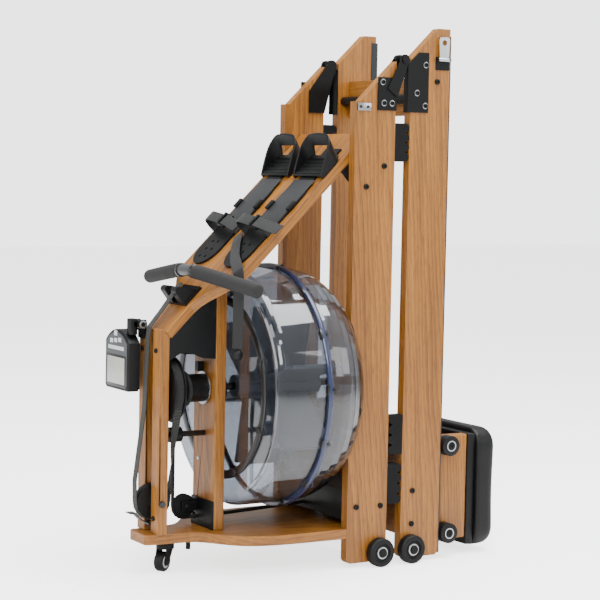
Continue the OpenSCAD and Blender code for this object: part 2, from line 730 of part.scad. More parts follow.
module handle_grips() color("#242527") row() for (side = [-1, 1]) {
    from = handle_mid(side);
    whole = handle_end(side) - from;
    difference() {
        rod(from + 0.02 * whole, from + whole, grip_r);
        rod(from, from + 0.94 * whole, 12.6);
    }
}

module monitor_outline() {
    round_z = monitor_z1 - 49;
    mid = monitor_y0 + monitor_w / 2;
    translate([monitor_y0, monitor_z0]) square([monitor_w, round_z - monitor_z0]);
    intersection() {
        translate([monitor_y0, monitor_z0]) square([monitor_w, monitor_h]);
        translate([mid, monitor_z1 - 75]) circle(r = 75, $fn = 96);
    }
}

// Extrudes a YZ outline along +X.
module face_slab(x0, x1) translate([x0, 0, 0]) rotate([90, 0, 90]) linear_extrude(x1 - x0) children();

key_places = [["left", 97.2, 478.8], ["middle", 77.2, 480.6], ["right", 57.4, 482.4]];

module key_shape(y, z, w, h, gap) translate([y - w / 2 - gap, z - h / 2 - gap])
    square([w + 2 * gap, h + 2 * gap]);

module strip_shape(gap) translate([37 - gap, 461 - gap]) square([76 + 2 * gap, 8 + 2 * gap]);

module monitor_case() color("#5b5e62") row() difference() {
    union() {
        face_slab(monitor_x0, monitor_x0 + monitor_d) monitor_outline();
        y_rod(tilt_x, tilt_z, 9, lug_y0, lug_y1);
        slab(lug_y0, lug_y1) polygon([[monitor_x0 + 6, monitor_z1 - 8], [monitor_x0 + 24, monitor_z1 - 8],
            [tilt_x, tilt_z - 8], [tilt_x, tilt_z + 8], [monitor_x0 + 12, tilt_z + 8]]);
    }
    y_rod(tilt_x, tilt_z, 3 + run_fit, lug_y0 - 1, lug_y1 + 1);
    face_slab(monitor_x0 - 1, monitor_x0 + 3) translate([monitor_y0 + 9.5, 385]) square([monitor_w - 20, 65.5]);
    face_slab(monitor_x0 - 1, monitor_x0 + 6) {
        key_shape(77.7, 495.5, 14, 10, 0.3);
        for (k = key_places) key_shape(k[1], k[2], 14, 9, 0.3);
        strip_shape(0.3);
    }
}

module monitor_screen() color("#6c7468") row()
    face_slab(monitor_x0 + 0.6, monitor_x0 + 3) translate([monitor_y0 + 9.7, 385.2])
        square([monitor_w - 20.4, 65.1]);

module key() face_slab(monitor_x0 - 1.5, monitor_x0 + 6 - key_travel - 0.4) children();

module key_start() color("#2a2b2d") row() key() key_shape(77.7, 495.5, 14, 10, 0);

module key_left() color("#2a2b2d") row() key() key_shape(key_places[0][1], key_places[0][2], 14, 9, 0);

module key_middle() color("#2a2b2d") row() key() key_shape(key_places[1][1], key_places[1][2], 14, 9, 0);

module key_right() color("#2a2b2d") row() key() key_shape(key_places[2][1], key_places[2][2], 14, 9, 0);

module key_strip() color("#2a2b2d") row() key() strip_shape(0);

module heel_cup() on_board() translate([0, toe_y, 0]) {
    translate([452, -59, 5.6]) cube([66, 118, 4]);
    both() slab(54, 59) polygon([[452, 0.6], [518, 0.6], [534, 56], [526, 56], [452, 8]]);
    slab(-59, 59) polygon([[521.6, 30], [526.6, 30], [534, 56], [529, 56]]);
    for (s = [458:12:506]) translate([s, -50, 9]) cube([4, 100, 2]);
}

module heel_cup_near() color("#1e1f21") row() mirror([0, 1, 0]) heel_cup();

module heel_cup_far() color("#1e1f21") row() heel_cup();

// ---- seat ----

module seat_tracks() color(bright) row() both() {
    block([rear_x1, rail_in - 2, 14], [rear_x1 + track_t, rail_out - 1, fold_z + 55]);
    block([rear_x1 - 12, rail_in - 2, 14], [rear_x1 + 0.5, rail_in, fold_z + 55]);
}

module seat_carriage() color(wood) row() {
    both() difference() {
        slab(carriage_y - carriage_t, carriage_y) hull() {
            for (x = [carriage_x0 + 18, carriage_x1 - 6], z = [54, 250])
                translate([x, z]) circle(r = x < carriage_x0 + 30 ? 18 : 6, $fn = 32);
        }
        for (z = [roller_low_z, roller_high_z]) 
            y_rod(roller_x, z, axle_r, carriage_y - 36, carriage_y + 4);
    }
    axle_y = roller_y1 + 2;
    for (z = [roller_low_z, roller_high_z]) y_rod(roller_x, z, axle_r, -axle_y, axle_y);
    plate_y = carriage_y + 2;
    block([carriage_x1 + 0.01, -plate_y, 20], [cushion_x0, plate_y, 268]);
}

module seat_roller_pair(z) both() difference() {
    y_rod(roller_x, z, roller_r, carriage_y + 2, roller_y1);
    y_rod(roller_x, z, axle_r + run_fit, carriage_y + 1, roller_y1 + 1);
}

module seat_rollers_upper() color(rubber) row() seat_roller_pair(roller_high_z);

module seat_rollers_lower() color(rubber) row() seat_roller_pair(roller_low_z);

module seat_cushion() color("#1b1c1e") row() {
    r = 45;
    half = cushion_w / 2;
    face_slab(cushion_x0 + 0.05, seat_top_x) hull() for (y = [-half + r, half - r],
        z = [seat_z0 + r, seat_z0 + cushion_len - r]) translate([y, z]) circle(r = r, $fn = 64);
}

base_board();
front_posts();
spine_board();
footboard();
front_rail_near();
front_rail_far();
front_cross_beam();
corner_plates();
neck_shroud();
tank_front_shell();
tank_rear_shell();
tank_rings();
bearing_housing();
pulley_axles();
belt_guard();
pulley_bracket();
return_cord();
drive_belt();
handle_rest();
monitor_bracket();
toe_plates();
toe_straps();
heel_strap();
front_hinge_brackets();
front_feet();
front_bolts();
caster_plate();
drive_shaft();
paddle();
belt_spool();
front_pulley();
guide_roller();
cord_pulley();
handle_bar();
handle_grips();
monitor_case();
monitor_screen();
key_start();
key_left();
key_middle();
key_right();
key_strip();
heel_cup_near();
heel_cup_far();
rear_rail_near();
rear_rail_far();
seat_tracks();
rear_cross_boards();
rear_hinge_plates();
rear_feet();
rear_bolts();
latch_lever();
front_wheels();
rear_wheels();
caster_fork();
caster_wheel();
seat_cushion();
seat_carriage();
seat_rollers_upper();
seat_rollers_lower();
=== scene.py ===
import logging
import math
from dataclasses import dataclass, field
from enum import Enum
from typing import Optional, Sequence

import bmesh
import bpy
from mathutils import Matrix, Vector


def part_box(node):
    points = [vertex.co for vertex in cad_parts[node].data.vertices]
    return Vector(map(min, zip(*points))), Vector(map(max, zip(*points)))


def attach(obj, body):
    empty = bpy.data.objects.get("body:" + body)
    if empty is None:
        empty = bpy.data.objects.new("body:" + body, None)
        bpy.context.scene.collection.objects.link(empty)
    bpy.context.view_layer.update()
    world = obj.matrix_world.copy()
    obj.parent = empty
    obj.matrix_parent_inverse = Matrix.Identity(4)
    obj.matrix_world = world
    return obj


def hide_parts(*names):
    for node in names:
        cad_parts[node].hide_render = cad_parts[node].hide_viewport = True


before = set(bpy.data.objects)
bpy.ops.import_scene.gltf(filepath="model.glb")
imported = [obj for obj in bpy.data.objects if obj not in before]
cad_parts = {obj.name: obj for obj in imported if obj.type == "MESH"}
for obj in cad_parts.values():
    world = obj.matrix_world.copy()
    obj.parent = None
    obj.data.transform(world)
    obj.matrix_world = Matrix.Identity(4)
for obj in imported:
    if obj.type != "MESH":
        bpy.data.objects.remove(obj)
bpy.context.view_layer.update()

log = logging.getLogger("rower")
MM = 0.001
# Points nearer than this are one point.
SAME_POINT = 1e-6
# A wave texture at scale 1 repeats after this many metres.
WAVE_SPAN = 0.314
# How square the ends of a flat section are; 1 would be an ellipse.
FLAT_POWER = 0.35


class Grain(Enum):
    """Which way a board's grain runs."""

    UP = "up"
    ALONG = "along"
    ACROSS = "across"
    SLOPE = "slope"


# ---- shader helpers ----


def linear(colour: str) -> tuple[float, float, float, float]:
    """Turns an sRGB hex colour into linear values.

    Args:
        colour: Six hex digits after a hash.

    Returns:
        Red, green, blue and an alpha of 1.
    """
    parts = [int(colour[i:i + 2], 16) / 255 for i in (1, 3, 5)]
    return tuple(c / 12.92 if c <= 0.04045 else ((c + 0.055) / 1.055) ** 2.4 for c in parts) + (1.0,)


def plug(tree: bpy.types.NodeTree, node: bpy.types.Node, links: dict) -> None:
    """Links or sets a node's inputs.

    Args:
        tree: The material's node tree.
        node: The node to feed.
        links: Input name or number to an output socket or a plain value.
    """
    for name, value in links.items():
        if isinstance(value, bpy.types.NodeSocket):
            tree.links.new(value, node.inputs[name])
        else:
            node.inputs[name].default_value = value


def add(tree: bpy.types.NodeTree, kind: str, links: Optional[dict] = None, **settings) -> bpy.types.Node:
    """Adds one shader node with its settings and links.

    Args:
        tree: The material's node tree.
        kind: The node's type name, without the ShaderNode prefix.
        links: Input name or number to an output socket or a plain value.
        settings: Attributes of the node.

    Returns:
        The new node.
    """
    node = tree.nodes.new("ShaderNode" + kind)
    for name, value in settings.items():
        setattr(node, name, value)
    plug(tree, node, links or {})
    return node


def ramp(tree: bpy.types.NodeTree, fac: bpy.types.NodeSocket,
         stops: Sequence[tuple[float, str]]) -> bpy.types.NodeSocket:
    """Maps a value to colours.

    Args:
        tree: The material's node tree.
        fac: The value to map.
        stops: Position and sRGB hex colour of each stop.

    Returns:
        The colour socket.
    """
    node = add(tree, "ValToRGB", {"Fac": fac})
    elements = node.color_ramp.elements
    while len(elements) < len(stops):
        elements.new(0.5)
    for element, (position, colour) in zip(elements, stops):
        element.position = position
        element.color = linear(colour)
    return node.outputs["Color"]


def bare_material(name: str) -> tuple[bpy.types.Material, bpy.types.NodeTree, bpy.types.Node]:
    """Starts a material.

    Args:
        name: The finish's name.

    Returns:
        The material, its tree and its main shader node.
    """
    material = bpy.data.materials.new(name)
    material.use_nodes = True
    tree = material.node_tree
    return material, tree, tree.nodes["Principled BSDF"]


@dataclass(frozen=True)
class OiledAsh:
    """Ash boards under satin oil: amber, with cathedral growth rings and short dark pores."""

    name: str
    grain: Grain
    light: str = "#a56e26"
    mid: str = "#8c5818"
    dark: str = "#683c0d"
    roughness: float = 0.42
    ring_mm: float = 9.0
    ring_stretch: float = 0.11
    pore_stretch: float = 0.03
    drift: float = 0.055
    slope_deg: float = -45.3

    def turn(self) -> tuple[float, float, float]:
        """Returns the pattern's turn that lays the grain along the board."""
        return {Grain.UP: (0.035, 0.05, 0.0), Grain.ALONG: (0.03, math.radians(90) + 0.05, 0.0),
                Grain.ACROSS: (math.radians(90) + 0.04, 0.03, 0.0),
                Grain.SLOPE: (0.04, math.radians(self.slope_deg) + 0.03, 0.0)}[self.grain]

    def make(self) -> bpy.types.Material:
        """Makes the finish.

        Returns:
            The material.
        """
        material, tree, shader = bare_material(self.name)
        place = add(tree, "TexCoord").outputs["Object"]
        turned = add(tree, "Mapping", {"Vector": place, "Rotation": self.turn(), "Location": (0.03, 0.055, 0.0)})
        board = turned.outputs["Vector"]
        long = add(tree, "Mapping", {"Vector": board, "Scale": (1.0, 1.0, self.ring_stretch)}).outputs["Vector"]
        drift = add(tree, "TexNoise", {"Vector": long, "Scale": 11.0, "Detail": 2.0, "Roughness": 0.45})
        push = add(tree, "VectorMath", {0: drift.outputs["Color"], 1: (0.5, 0.5, 0.5)}, operation="SUBTRACT")
        pushed = add(tree, "VectorMath", {0: push.outputs[0], "Scale": self.drift}, operation="SCALE")
        bent = add(tree, "VectorMath", {0: long, 1: pushed.outputs[0]}, operation="ADD")
        rings = add(tree, "TexWave", {"Vector": bent.outputs[0], "Scale": WAVE_SPAN / (self.ring_mm * MM),
                                      "Distortion": 0.8, "Detail": 2.0, "Detail Scale": 1.5},
                    wave_type="RINGS", rings_direction="Z", wave_profile="SAW")
        streak = add(tree, "Mapping", {"Vector": board, "Scale": (1.0, 1.0, self.pore_stretch)}).outputs["Vector"]
        pores = add(tree, "TexNoise", {"Vector": streak, "Scale": 620.0, "Detail": 3.0, "Roughness": 0.7})
        broad = add(tree, "TexNoise", {"Vector": streak, "Scale": 45.0, "Detail": 3.0, "Roughness": 0.6})
        base = ramp(tree, rings.outputs["Fac"], [(0.0, self.light), (0.62, self.mid), (0.93, self.dark),
                                                 (1.0, self.light)])
        tint = ramp(tree, broad.outputs["Fac"], [(0.3, self.dark), (0.52, self.mid), (0.72, self.light)])
        mixed = add(tree, "Mix", {"Factor": 0.55, 6: base, 7: tint}, data_type="RGBA")
        dash = ramp(tree, pores.outputs["Fac"], [(0.36, "#8d5c34"), (0.5, "#ffffff")])
        final = add(tree, "Mix", {"Factor": 0.5, 6: mixed.outputs[2], 7: dash}, data_type="RGBA",
                    blend_type="MULTIPLY")
        rough = add(tree, "MapRange", {"Value": pores.outputs["Fac"], "To Min": self.roughness + 0.12,
                                       "To Max": self.roughness - 0.06})
        bump = add(tree, "Bump", {"Height": pores.outputs["Fac"], "Strength": 0.12, "Distance": 0.0006})
        plug(tree, shader, {"Base Color": final.outputs[2], "Roughness": rough.outputs["Result"],
                            "Normal": bump.outputs["Normal"], "Coat Weight": 0.06, "Coat Roughness": 0.28})
        return material


@dataclass(frozen=True)
class Solid:
    """A one-colour finish with mottling, uneven gloss and a surface grain, drawn coarse enough to show."""

    name: str
    colour: str
    roughness: float
    metallic: float = 0.0
    grain_mm: float = 0.6
    bump: float = 0.15
    depth_mm: float = 0.05
    coat: float = 0.0
    spread: float = 0.12
    sheen: float = 0.0
    specular: float = 0.5

    def make(self) -> bpy.types.Material:
        """Makes the finish.

        Returns:
            The material.
        """
        material, tree, shader = bare_material(self.name)
        place = add(tree, "TexCoord").outputs["Object"]
        fine = add(tree, "TexNoise", {"Vector": place, "Scale": 1 / (self.grain_mm * MM), "Detail": 2.0})
        cloud = add(tree, "TexNoise", {"Vector": place, "Scale": 28.0, "Detail": 4.0})
        base = linear(self.colour)[:3]
        low = tuple(c * (1 - self.spread) for c in base) + (1.0,)
        high = tuple(min(1, c * (1 + self.spread)) for c in base) + (1.0,)
        shade = add(tree, "Mix", {"Factor": cloud.outputs["Fac"], 6: low, 7: high}, data_type="RGBA")
        rough = add(tree, "MapRange", {"Value": cloud.outputs["Fac"], "From Min": 0.3, "From Max": 0.7,
                                       "To Min": self.roughness - 0.05, "To Max": self.roughness + 0.06})
        bump = add(tree, "Bump", {"Height": fine.outputs["Fac"], "Strength": self.bump,
                                  "Distance": self.depth_mm * MM})
        plug(tree, shader, {"Base Color": shade.outputs[2], "Roughness": rough.outputs["Result"],
                            "Normal": bump.outputs["Normal"], "Metallic": self.metallic, "Coat Weight": self.coat,
                            "Sheen Weight": self.sheen, "Specular IOR Level": self.specular})
        return material


@dataclass(frozen=True)
class Polycarbonate:
    """Smoked clear polycarbonate, blow moulded: glossy, faintly grey, with soft waves in its wall."""

    name: str = "smoked_polycarbonate"
    colour: str = "#b9bec6"
    roughness: float = 0.03
    ior: float = 1.585

    def make(self) -> bpy.types.Material:
        """Makes the finish.

        Returns:
            The material.
        """
        material, tree, shader = bare_material(self.name)
        place = add(tree, "TexCoord").outputs["Object"]
        wave = add(tree, "TexNoise", {"Vector": place, "Scale": 9.0, "Detail": 1.0})
        bump = add(tree, "Bump", {"Height": wave.outputs["Fac"], "Strength": 0.12, "Distance": 0.004})
        plug(tree, shader, {"Normal": bump.outputs["Normal"], "Base Color": linear(self.colour),
                            "Roughness": self.roughness, "IOR": self.ior, "Transmission Weight": 1.0})
        return material


@dataclass(frozen=True)
class Webbing:
    """Woven polyester webbing: matt, ribbed across its width, with a soft sheen."""

    name: str
    colour: str = "#191a1c"
    rib_mm: float = 1.6

    def make(self) -> bpy.types.Material:
        """Makes the finish.

        Returns:
            The material.
        """
        material, tree, shader = bare_material(self.name)
        place = add(tree, "TexCoord").outputs["Object"]
        ribs = {"Vector": place, "Scale": WAVE_SPAN / (self.rib_mm * MM)}
        warp = add(tree, "TexWave", ribs, bands_direction="DIAGONAL")
        weft = add(tree, "TexWave", ribs, bands_direction="Y")
        weave = add(tree, "Math", {0: warp.outputs["Fac"], 1: weft.outputs["Fac"]}, operation="MULTIPLY")
        colour = ramp(tree, weave.outputs[0], [(0.0, "#050606"), (1.0, self.colour)])
        bump = add(tree, "Bump", {"Height": weave.outputs[0], "Strength": 0.5, "Distance": 0.0004})
        plug(tree, shader, {"Base Color": colour, "Normal": bump.outputs["Normal"], "Roughness": 0.75,
                            "Sheen Weight": 0.08})
        return material


@dataclass(frozen=True)
class GrainedLeather:
    """Black coated upholstery: a fine pebble grain with a soft shine."""

    name: str = "black_upholstery"
    colour: str = "#101012"
    pebble_mm: float = 1.8

    def make(self) -> bpy.types.Material:
        """Makes the finish.

        Returns:
            The material.
        """
        material, tree, shader = bare_material(self.name)
        place = add(tree, "TexCoord").outputs["Object"]
        pebble = add(tree, "TexVoronoi", {"Vector": place, "Scale": 1 / (self.pebble_mm * MM)},
                     feature="SMOOTH_F1")
        cloud = add(tree, "TexNoise", {"Vector": place, "Scale": 14.0, "Detail": 3.0})
        colour = ramp(tree, cloud.outputs["Fac"], [(0.3, "#0b0b0c"), (0.7, self.colour)])
        bump = add(tree, "Bump", {"Height": pebble.outputs["Distance"], "Strength": 0.3, "Distance": 0.0005})
        plug(tree, shader, {"Base Color": colour, "Normal": bump.outputs["Normal"], "Roughness": 0.46,
                            "Specular IOR Level": 0.25})
        return material


FINISHES = {
    # Oiled ash, its grain along each board: amber, satin, brown rings.
    "ash_up": OiledAsh("oiled_ash_upright", Grain.UP),
    "ash_along": OiledAsh("oiled_ash_along", Grain.ALONG),
    "ash_across": OiledAsh("oiled_ash_across", Grain.ACROSS),
    "ash_slope": OiledAsh("oiled_ash_slope", Grain.SLOPE),
    # Powder coat on steel: near black, satin, a fine orange peel.
    "powder_coat": Solid("black_powder_coat", "#090a0a", 0.42, grain_mm=0.5, bump=0.25, specular=0.2),
    # Moulded ABS: near black, low gloss, a spark-eroded grain.
    "black_abs": Solid("moulded_black_abs", "#08090a", 0.46, grain_mm=0.7, bump=0.2, specular=0.25),
    # Moulded ABS in grey: the monitor's face, a little lighter than its case.
    "face_grey": Solid("monitor_face_grey", "#45484b", 0.45, grain_mm=0.5),
    # Silicone rubber keys: pale, matt and smooth.
    "key_grey": Solid("key_rubber", "#c4c6c8", 0.5, grain_mm=0.5),
    # Sole pads of thin rubber: dark grey and matt.
    "sole_grey": Solid("sole_pad_grey", "#222426", 0.55, grain_mm=0.8, bump=0.25),
    # Closed-cell foam: dead matt, with an open pebble.
    "foam": Solid("grip_foam", "#1b1a1a", 0.85, grain_mm=1.2, bump=0.7, depth_mm=0.25),
    # Painted steel tube: mid grey with a thin gloss.
    "tube_grey": Solid("grey_painted_tube", "#444648", 0.38, metallic=0.3, coat=0.2),
    # Zinc plate on steel: bright, cool, softly mirrored.
    "zinc": Solid("zinc_plated_steel", "#b4b7ba", 0.28, metallic=1.0, grain_mm=0.9, bump=0.06),
    # Anodised aluminium, dark: a dull metal gleam.
    "track_black": Solid("black_anodised_track", "#2c2e31", 0.34, metallic=0.6, grain_mm=0.4, bump=0.08),
    # Moulded ABS in light grey: the paddle behind the smoked wall.
    "blade_grey": Solid("paddle_grey_abs", "#7d8084", 0.45),
    # Cast polyurethane: near black, a soft shine.
    "tyre": Solid("wheel_polyurethane", "#0c0c0d", 0.5, grain_mm=0.8, bump=0.2, specular=0.25),
    # Nylon: pale grey and plain.
    "hub_light": Solid("hub_grey_nylon", "#a9abad", 0.45),
    # Moulded rubber: black, matt, coarse.
    "rubber": Solid("moulded_rubber", "#0b0b0c", 0.75, grain_mm=0.9, bump=0.3, depth_mm=0.1, specular=0.2),
    # Soft PVC seal: dark blue with a wet edge of light.
    "seal_navy": Solid("navy_tank_seal", "#1d2747", 0.3, coat=0.4),
    # Lacquered rings: black with a thin gloss.
    "ring_black": Solid("black_tank_ring", "#0a0b0c", 0.35, coat=0.2),
    # Smoked polycarbonate, clear.
    "tank": Polycarbonate(),
    # Woven polyester: strap, belt and braid, matt and ribbed.
    "webbing": Webbing("black_webbing", colour="#0c0d0e"),
    "belt": Webbing("belt_weave", colour="#3a3d36", rib_mm=2.0),
    "cord": Webbing("braided_cord", colour="#1c1d1f", rib_mm=1.2),
    # Coated upholstery: black, pebbled, a low shine.
    "upholstery": GrainedLeather(),
    # Liquid crystal display under glass: flat grey green.
    "lcd": Solid("lcd_green_grey", "#a9aca2", 0.22, coat=0.6, spread=0.03),
}
MADE: dict[str, bpy.types.Material] = {}


def finish(name: str) -> bpy.types.Material:
    """Returns the named finish's material, made once."""
    if name not in MADE:
        MADE[name] = FINISHES[name].make()
    return MADE[name]


def dress(node: str, name: str, edge_mm: float = 0.0) -> None:
    """Gives a CAD node its finish, and rounds its edges a little.

    Args:
        node: The CAD node.
        name: The finish.
        edge_mm: Width of the rounded edges, or 0 for none.
    """
    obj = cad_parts[node]
    obj.data.materials.clear()
    obj.data.materials.append(finish(name))
    if edge_mm:
        weld = obj.modifiers.new("weld", "WELD")
        weld.merge_threshold = 0.00002
        bevel = obj.modifiers.new("edges", "BEVEL")
        bevel.width = edge_mm * MM
        bevel.segments = 2
        bevel.limit_method = "ANGLE"
        bevel.angle_limit = math.radians(40)
        bevel.harden_normals = True
    log.info("dressed %s in %s", node, name)


# ---- mesh helpers ----


def piece(name: str, mesh: bmesh.types.BMesh, look: str, body: str,
          replaced: Sequence[str] = (), smooth: float = 40.0) -> bpy.types.Object:
    """Turns a bmesh into a finished piece that rides on a body.

    Args:
        name: The piece's name.
        mesh: Its shape, in place. It is freed here.
        look: Its finish.
        body: The CAD body it moves with.
        replaced: CAD nodes it stands for.
        smooth: Angle in degrees under which faces shade smooth.

    Returns:
        The new object.
    """
    data = bpy.data.meshes.new(name)
    bmesh.ops.remove_doubles(mesh, verts=mesh.verts, dist=SAME_POINT)
    bmesh.ops.recalc_face_normals(mesh, faces=mesh.faces)
    mesh.to_mesh(data)
    mesh.free()
    obj = bpy.data.objects.new(name, data)
    bpy.context.collection.objects.link(obj)
    data.materials.append(finish(look))
    data.shade_smooth()
    data.set_sharp_from_angle(angle=math.radians(smooth))
    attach(obj, body)
    if replaced:
        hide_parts(*replaced)
    log.info("made %s, %d faces", name, len(data.polygons))
    return obj


def mark_done(mesh: bmesh.types.BMesh) -> None:
    """Tags every vertex, so that the next turned shape places only its own."""
    for vert in mesh.verts:
        vert.tag = True


def soften(mesh: bmesh.types.BMesh, edges: list[bmesh.types.BMEdge], width: float, segments: int) -> None:
    """Rounds some edges.

    Args:
        mesh: The bmesh they are in.
        edges: The edges.
        width: Radius of the rounding.
        segments: Faces across it.
    """
    bmesh.ops.bevel(mesh, geom=edges, offset=width, offset_type="OFFSET", segments=segments, profile=0.5,
                    affect="EDGES", material=-1)


def skin(mesh: bmesh.types.BMesh, rings: list[list[bmesh.types.BMVert]]) -> None:
    """Joins rings of vertices with faces and closes both ends.

    Args:
        mesh: The bmesh they are in.
        rings: Rings with the same number of vertices, in order.
    """
    count = len(rings[0])
    for low, high in zip(rings, rings[1:]):
        for k in range(count):
            mesh.faces.new((low[k], low[(k + 1) % count], high[(k + 1) % count], high[k]))
    mesh.faces.new(rings[0])
    mesh.faces.new(rings[-1])


def turned(mesh: bmesh.types.BMesh, outline: Sequence[tuple[float, float]], place: Matrix, steps: int = 48) -> None:
    """Spins a closed outline of (radius, height) points about local Z.

    Args:
        mesh: The bmesh to add to.
        outline: Closed loop of points.
        place: Where the turned shape goes.
        steps: Faces round it.
    """
    ring = [mesh.verts.new((r, 0.0, h)) for r, h in outline]
    edges = [mesh.edges.new((ring[i], ring[(i + 1) % len(ring)])) for i in range(len(ring))]
    bmesh.ops.spin(mesh, geom=ring + edges, cent=(0, 0, 0), axis=(0, 0, 1), angle=math.tau, steps=steps,
                   use_merge=True)
    verts = {v for f in mesh.faces for v in f.verts if not v.tag}
    bmesh.ops.transform(mesh, matrix=place, verts=list(verts))
    mark_done(mesh)


def rounded_box(mesh: bmesh.types.BMesh, size: Vector, place: Matrix, edge: float, segments: int = 2) -> None:
    """Adds a box with rounded edges.

    Args:
        mesh: The bmesh to add to.
        size: Its size along its own axes.
        place: Where its middle goes.
        edge: Radius of its edges.
        segments: Faces across each rounded edge.
    """
    verts = bmesh.ops.create_cube(mesh, size=1.0)["verts"]
    bmesh.ops.scale(mesh, vec=size, verts=verts)
    bmesh.ops.transform(mesh, matrix=place, verts=verts)
    edges = list({e for v in verts for e in v.link_edges})
    soften(mesh, edges, edge, segments)
    mark_done(mesh)


def tube(mesh: bmesh.types.BMesh, path: Sequence[Vector], radii: Sequence[float], sides: int = 24,
         flat: Optional[Vector] = None, thick: float = 0.0) -> None:
    """Sweeps a round or flat section along a path.

    Args:
        mesh: The bmesh to add to.
        path: Points of the centre line.
        radii: Radius, or half width, at each point.
        sides: Points round the section.
        flat: Width direction of a flat section.
        thick: Half thickness of a flat section.
    """
    rings = []
    side = flat or Vector((0, 0, 1))
    power = FLAT_POWER if thick else 1.0
    for i, point in enumerate(path):
        way = (path[min(i + 1, len(path) - 1)] - path[max(i - 1, 0)]).normalized()
        across = (side - side.dot(way) * way).normalized()
        side = across
        other = way.cross(across)
        tall = thick or radii[i]
        made = bmesh.ops.create_circle(mesh, radius=1.0, segments=sides)["verts"]
        for vert in made:
            angle = math.atan2(vert.co.y, vert.co.x)
            c = math.copysign(abs(math.cos(angle)) ** power, math.cos(angle))
            s = math.copysign(abs(math.sin(angle)) ** power, math.sin(angle))
            vert.co = point + across * radii[i] * c + other * tall * s
        rings.append(made)
    skin(mesh, rings)
    mark_done(mesh)


def smooth_path(points: Sequence[Vector], steps: int) -> list[Vector]:
    """Runs a smooth curve through points.

    Args:
        points: The points to pass through.
        steps: Parts between two points.

    Returns:
        The finer points.
    """
    ends = [points[0] * 2 - points[1]] + list(points) + [points[-1] * 2 - points[-2]]
    fine = []
    for a, b, c, d in zip(ends, ends[1:], ends[2:], ends[3:]):
        for k in range(steps):
            t = k / steps
            fine.append(0.5 * ((2 * b) + (c - a) * t + (2 * a - 5 * b + 4 * c - d) * t * t
                               + (3 * b - a - 3 * c + d) * t ** 3))
    return fine + [points[-1]]


def apply_modifiers(obj: bpy.types.Object) -> None:
    """Makes an object's modifiers part of its mesh.

    Args:
        obj: The object, left with no modifiers.
    """
    graph = bpy.context.evaluated_depsgraph_get()
    mesh = bpy.data.meshes.new_from_object(obj.evaluated_get(graph))
    obj.modifiers.clear()
    obj.data = mesh


def along_y(x: float, y: float, z: float, out: float = 1.0) -> Matrix:
    """Returns a placement whose local Z points along Y, outwards where out is -1 or 1."""
    return Matrix.Translation((x, y, z)) @ Matrix.Rotation(math.radians(-90 * out), 4, "X")


def along_x(x: float, y: float, z: float) -> Matrix:
    """Returns a placement whose local Z points along +X."""
    return Matrix.Translation((x, y, z)) @ Matrix.Rotation(math.radians(90), 4, "Y")


def solids_of(node: str) -> list[tuple[Vector, Vector]]:
    """Finds the separate solids in a CAD node.

    Args:
        node: The CAD node.

    Returns:
        The lowest and highest corner of each solid.
    """
    mesh = bmesh.new()
    mesh.from_mesh(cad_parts[node].data)
    bmesh.ops.remove_doubles(mesh, verts=mesh.verts, dist=SAME_POINT)
    left = set(mesh.verts)
    boxes = []
    while left:
        stack = [left.pop()]
        group = list(stack)
        while stack:
            for edge in stack.pop().link_edges:
                for vert in edge.verts:
                    if vert in left:
                        left.remove(vert)
                        stack.append(vert)
                        group.append(vert)
        boxes.append((Vector([min(v.co[k] for v in group) for k in range(3)]),
                      Vector([max(v.co[k] for v in group) for k in range(3)])))
    mesh.free()
    return sorted(boxes, key=lambda b: tuple(round(c, 5) for c in b[0]))


@dataclass
class Layout:
    """Places that several sub-assemblies share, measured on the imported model."""

    front_x: float = field(default_factory=lambda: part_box("front_rail_near")[0][0])
    rail_out: float = field(default_factory=lambda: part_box("front_rail_far")[1][1])
    slope: float = math.radians(44.7)

    @property
    def toe(self) -> Vector:
        """The footboard's low front edge."""
        return Vector((self.front_x - 0.380, 0.0, 0.507))

    def board(self, s: float, n: float, y: float = 0.0) -> Vector:
        """Finds a point on the footboard.

        Args:
            s: Millimetres up the slope.
            n: Millimetres off the face.
            y: Millimetres across, positive to the far side.

        Returns:
            The point.
        """
        up = Vector((math.cos(self.slope), 0, math.sin(self.slope)))
        off = Vector((-math.sin(self.slope), 0, math.cos(self.slope)))
        return self.toe + up * s * MM + off * n * MM + Vector((0, y * MM, 0))

    def board_matrix(self, s: float, n: float, y: float) -> Matrix:
        """Returns a placement on the footboard, local X up the slope and local Z off its face."""
        return Matrix.Translation(self.board(s, n, y)) @ Matrix.Rotation(-self.slope, 4, "Y")

    def spot(self, x: float, y: float, z: float) -> Vector:
        """Returns a point given in mm from the front rails' front edge, the middle and the floor."""
        return Vector((self.front_x + x * MM, y * MM, z * MM))


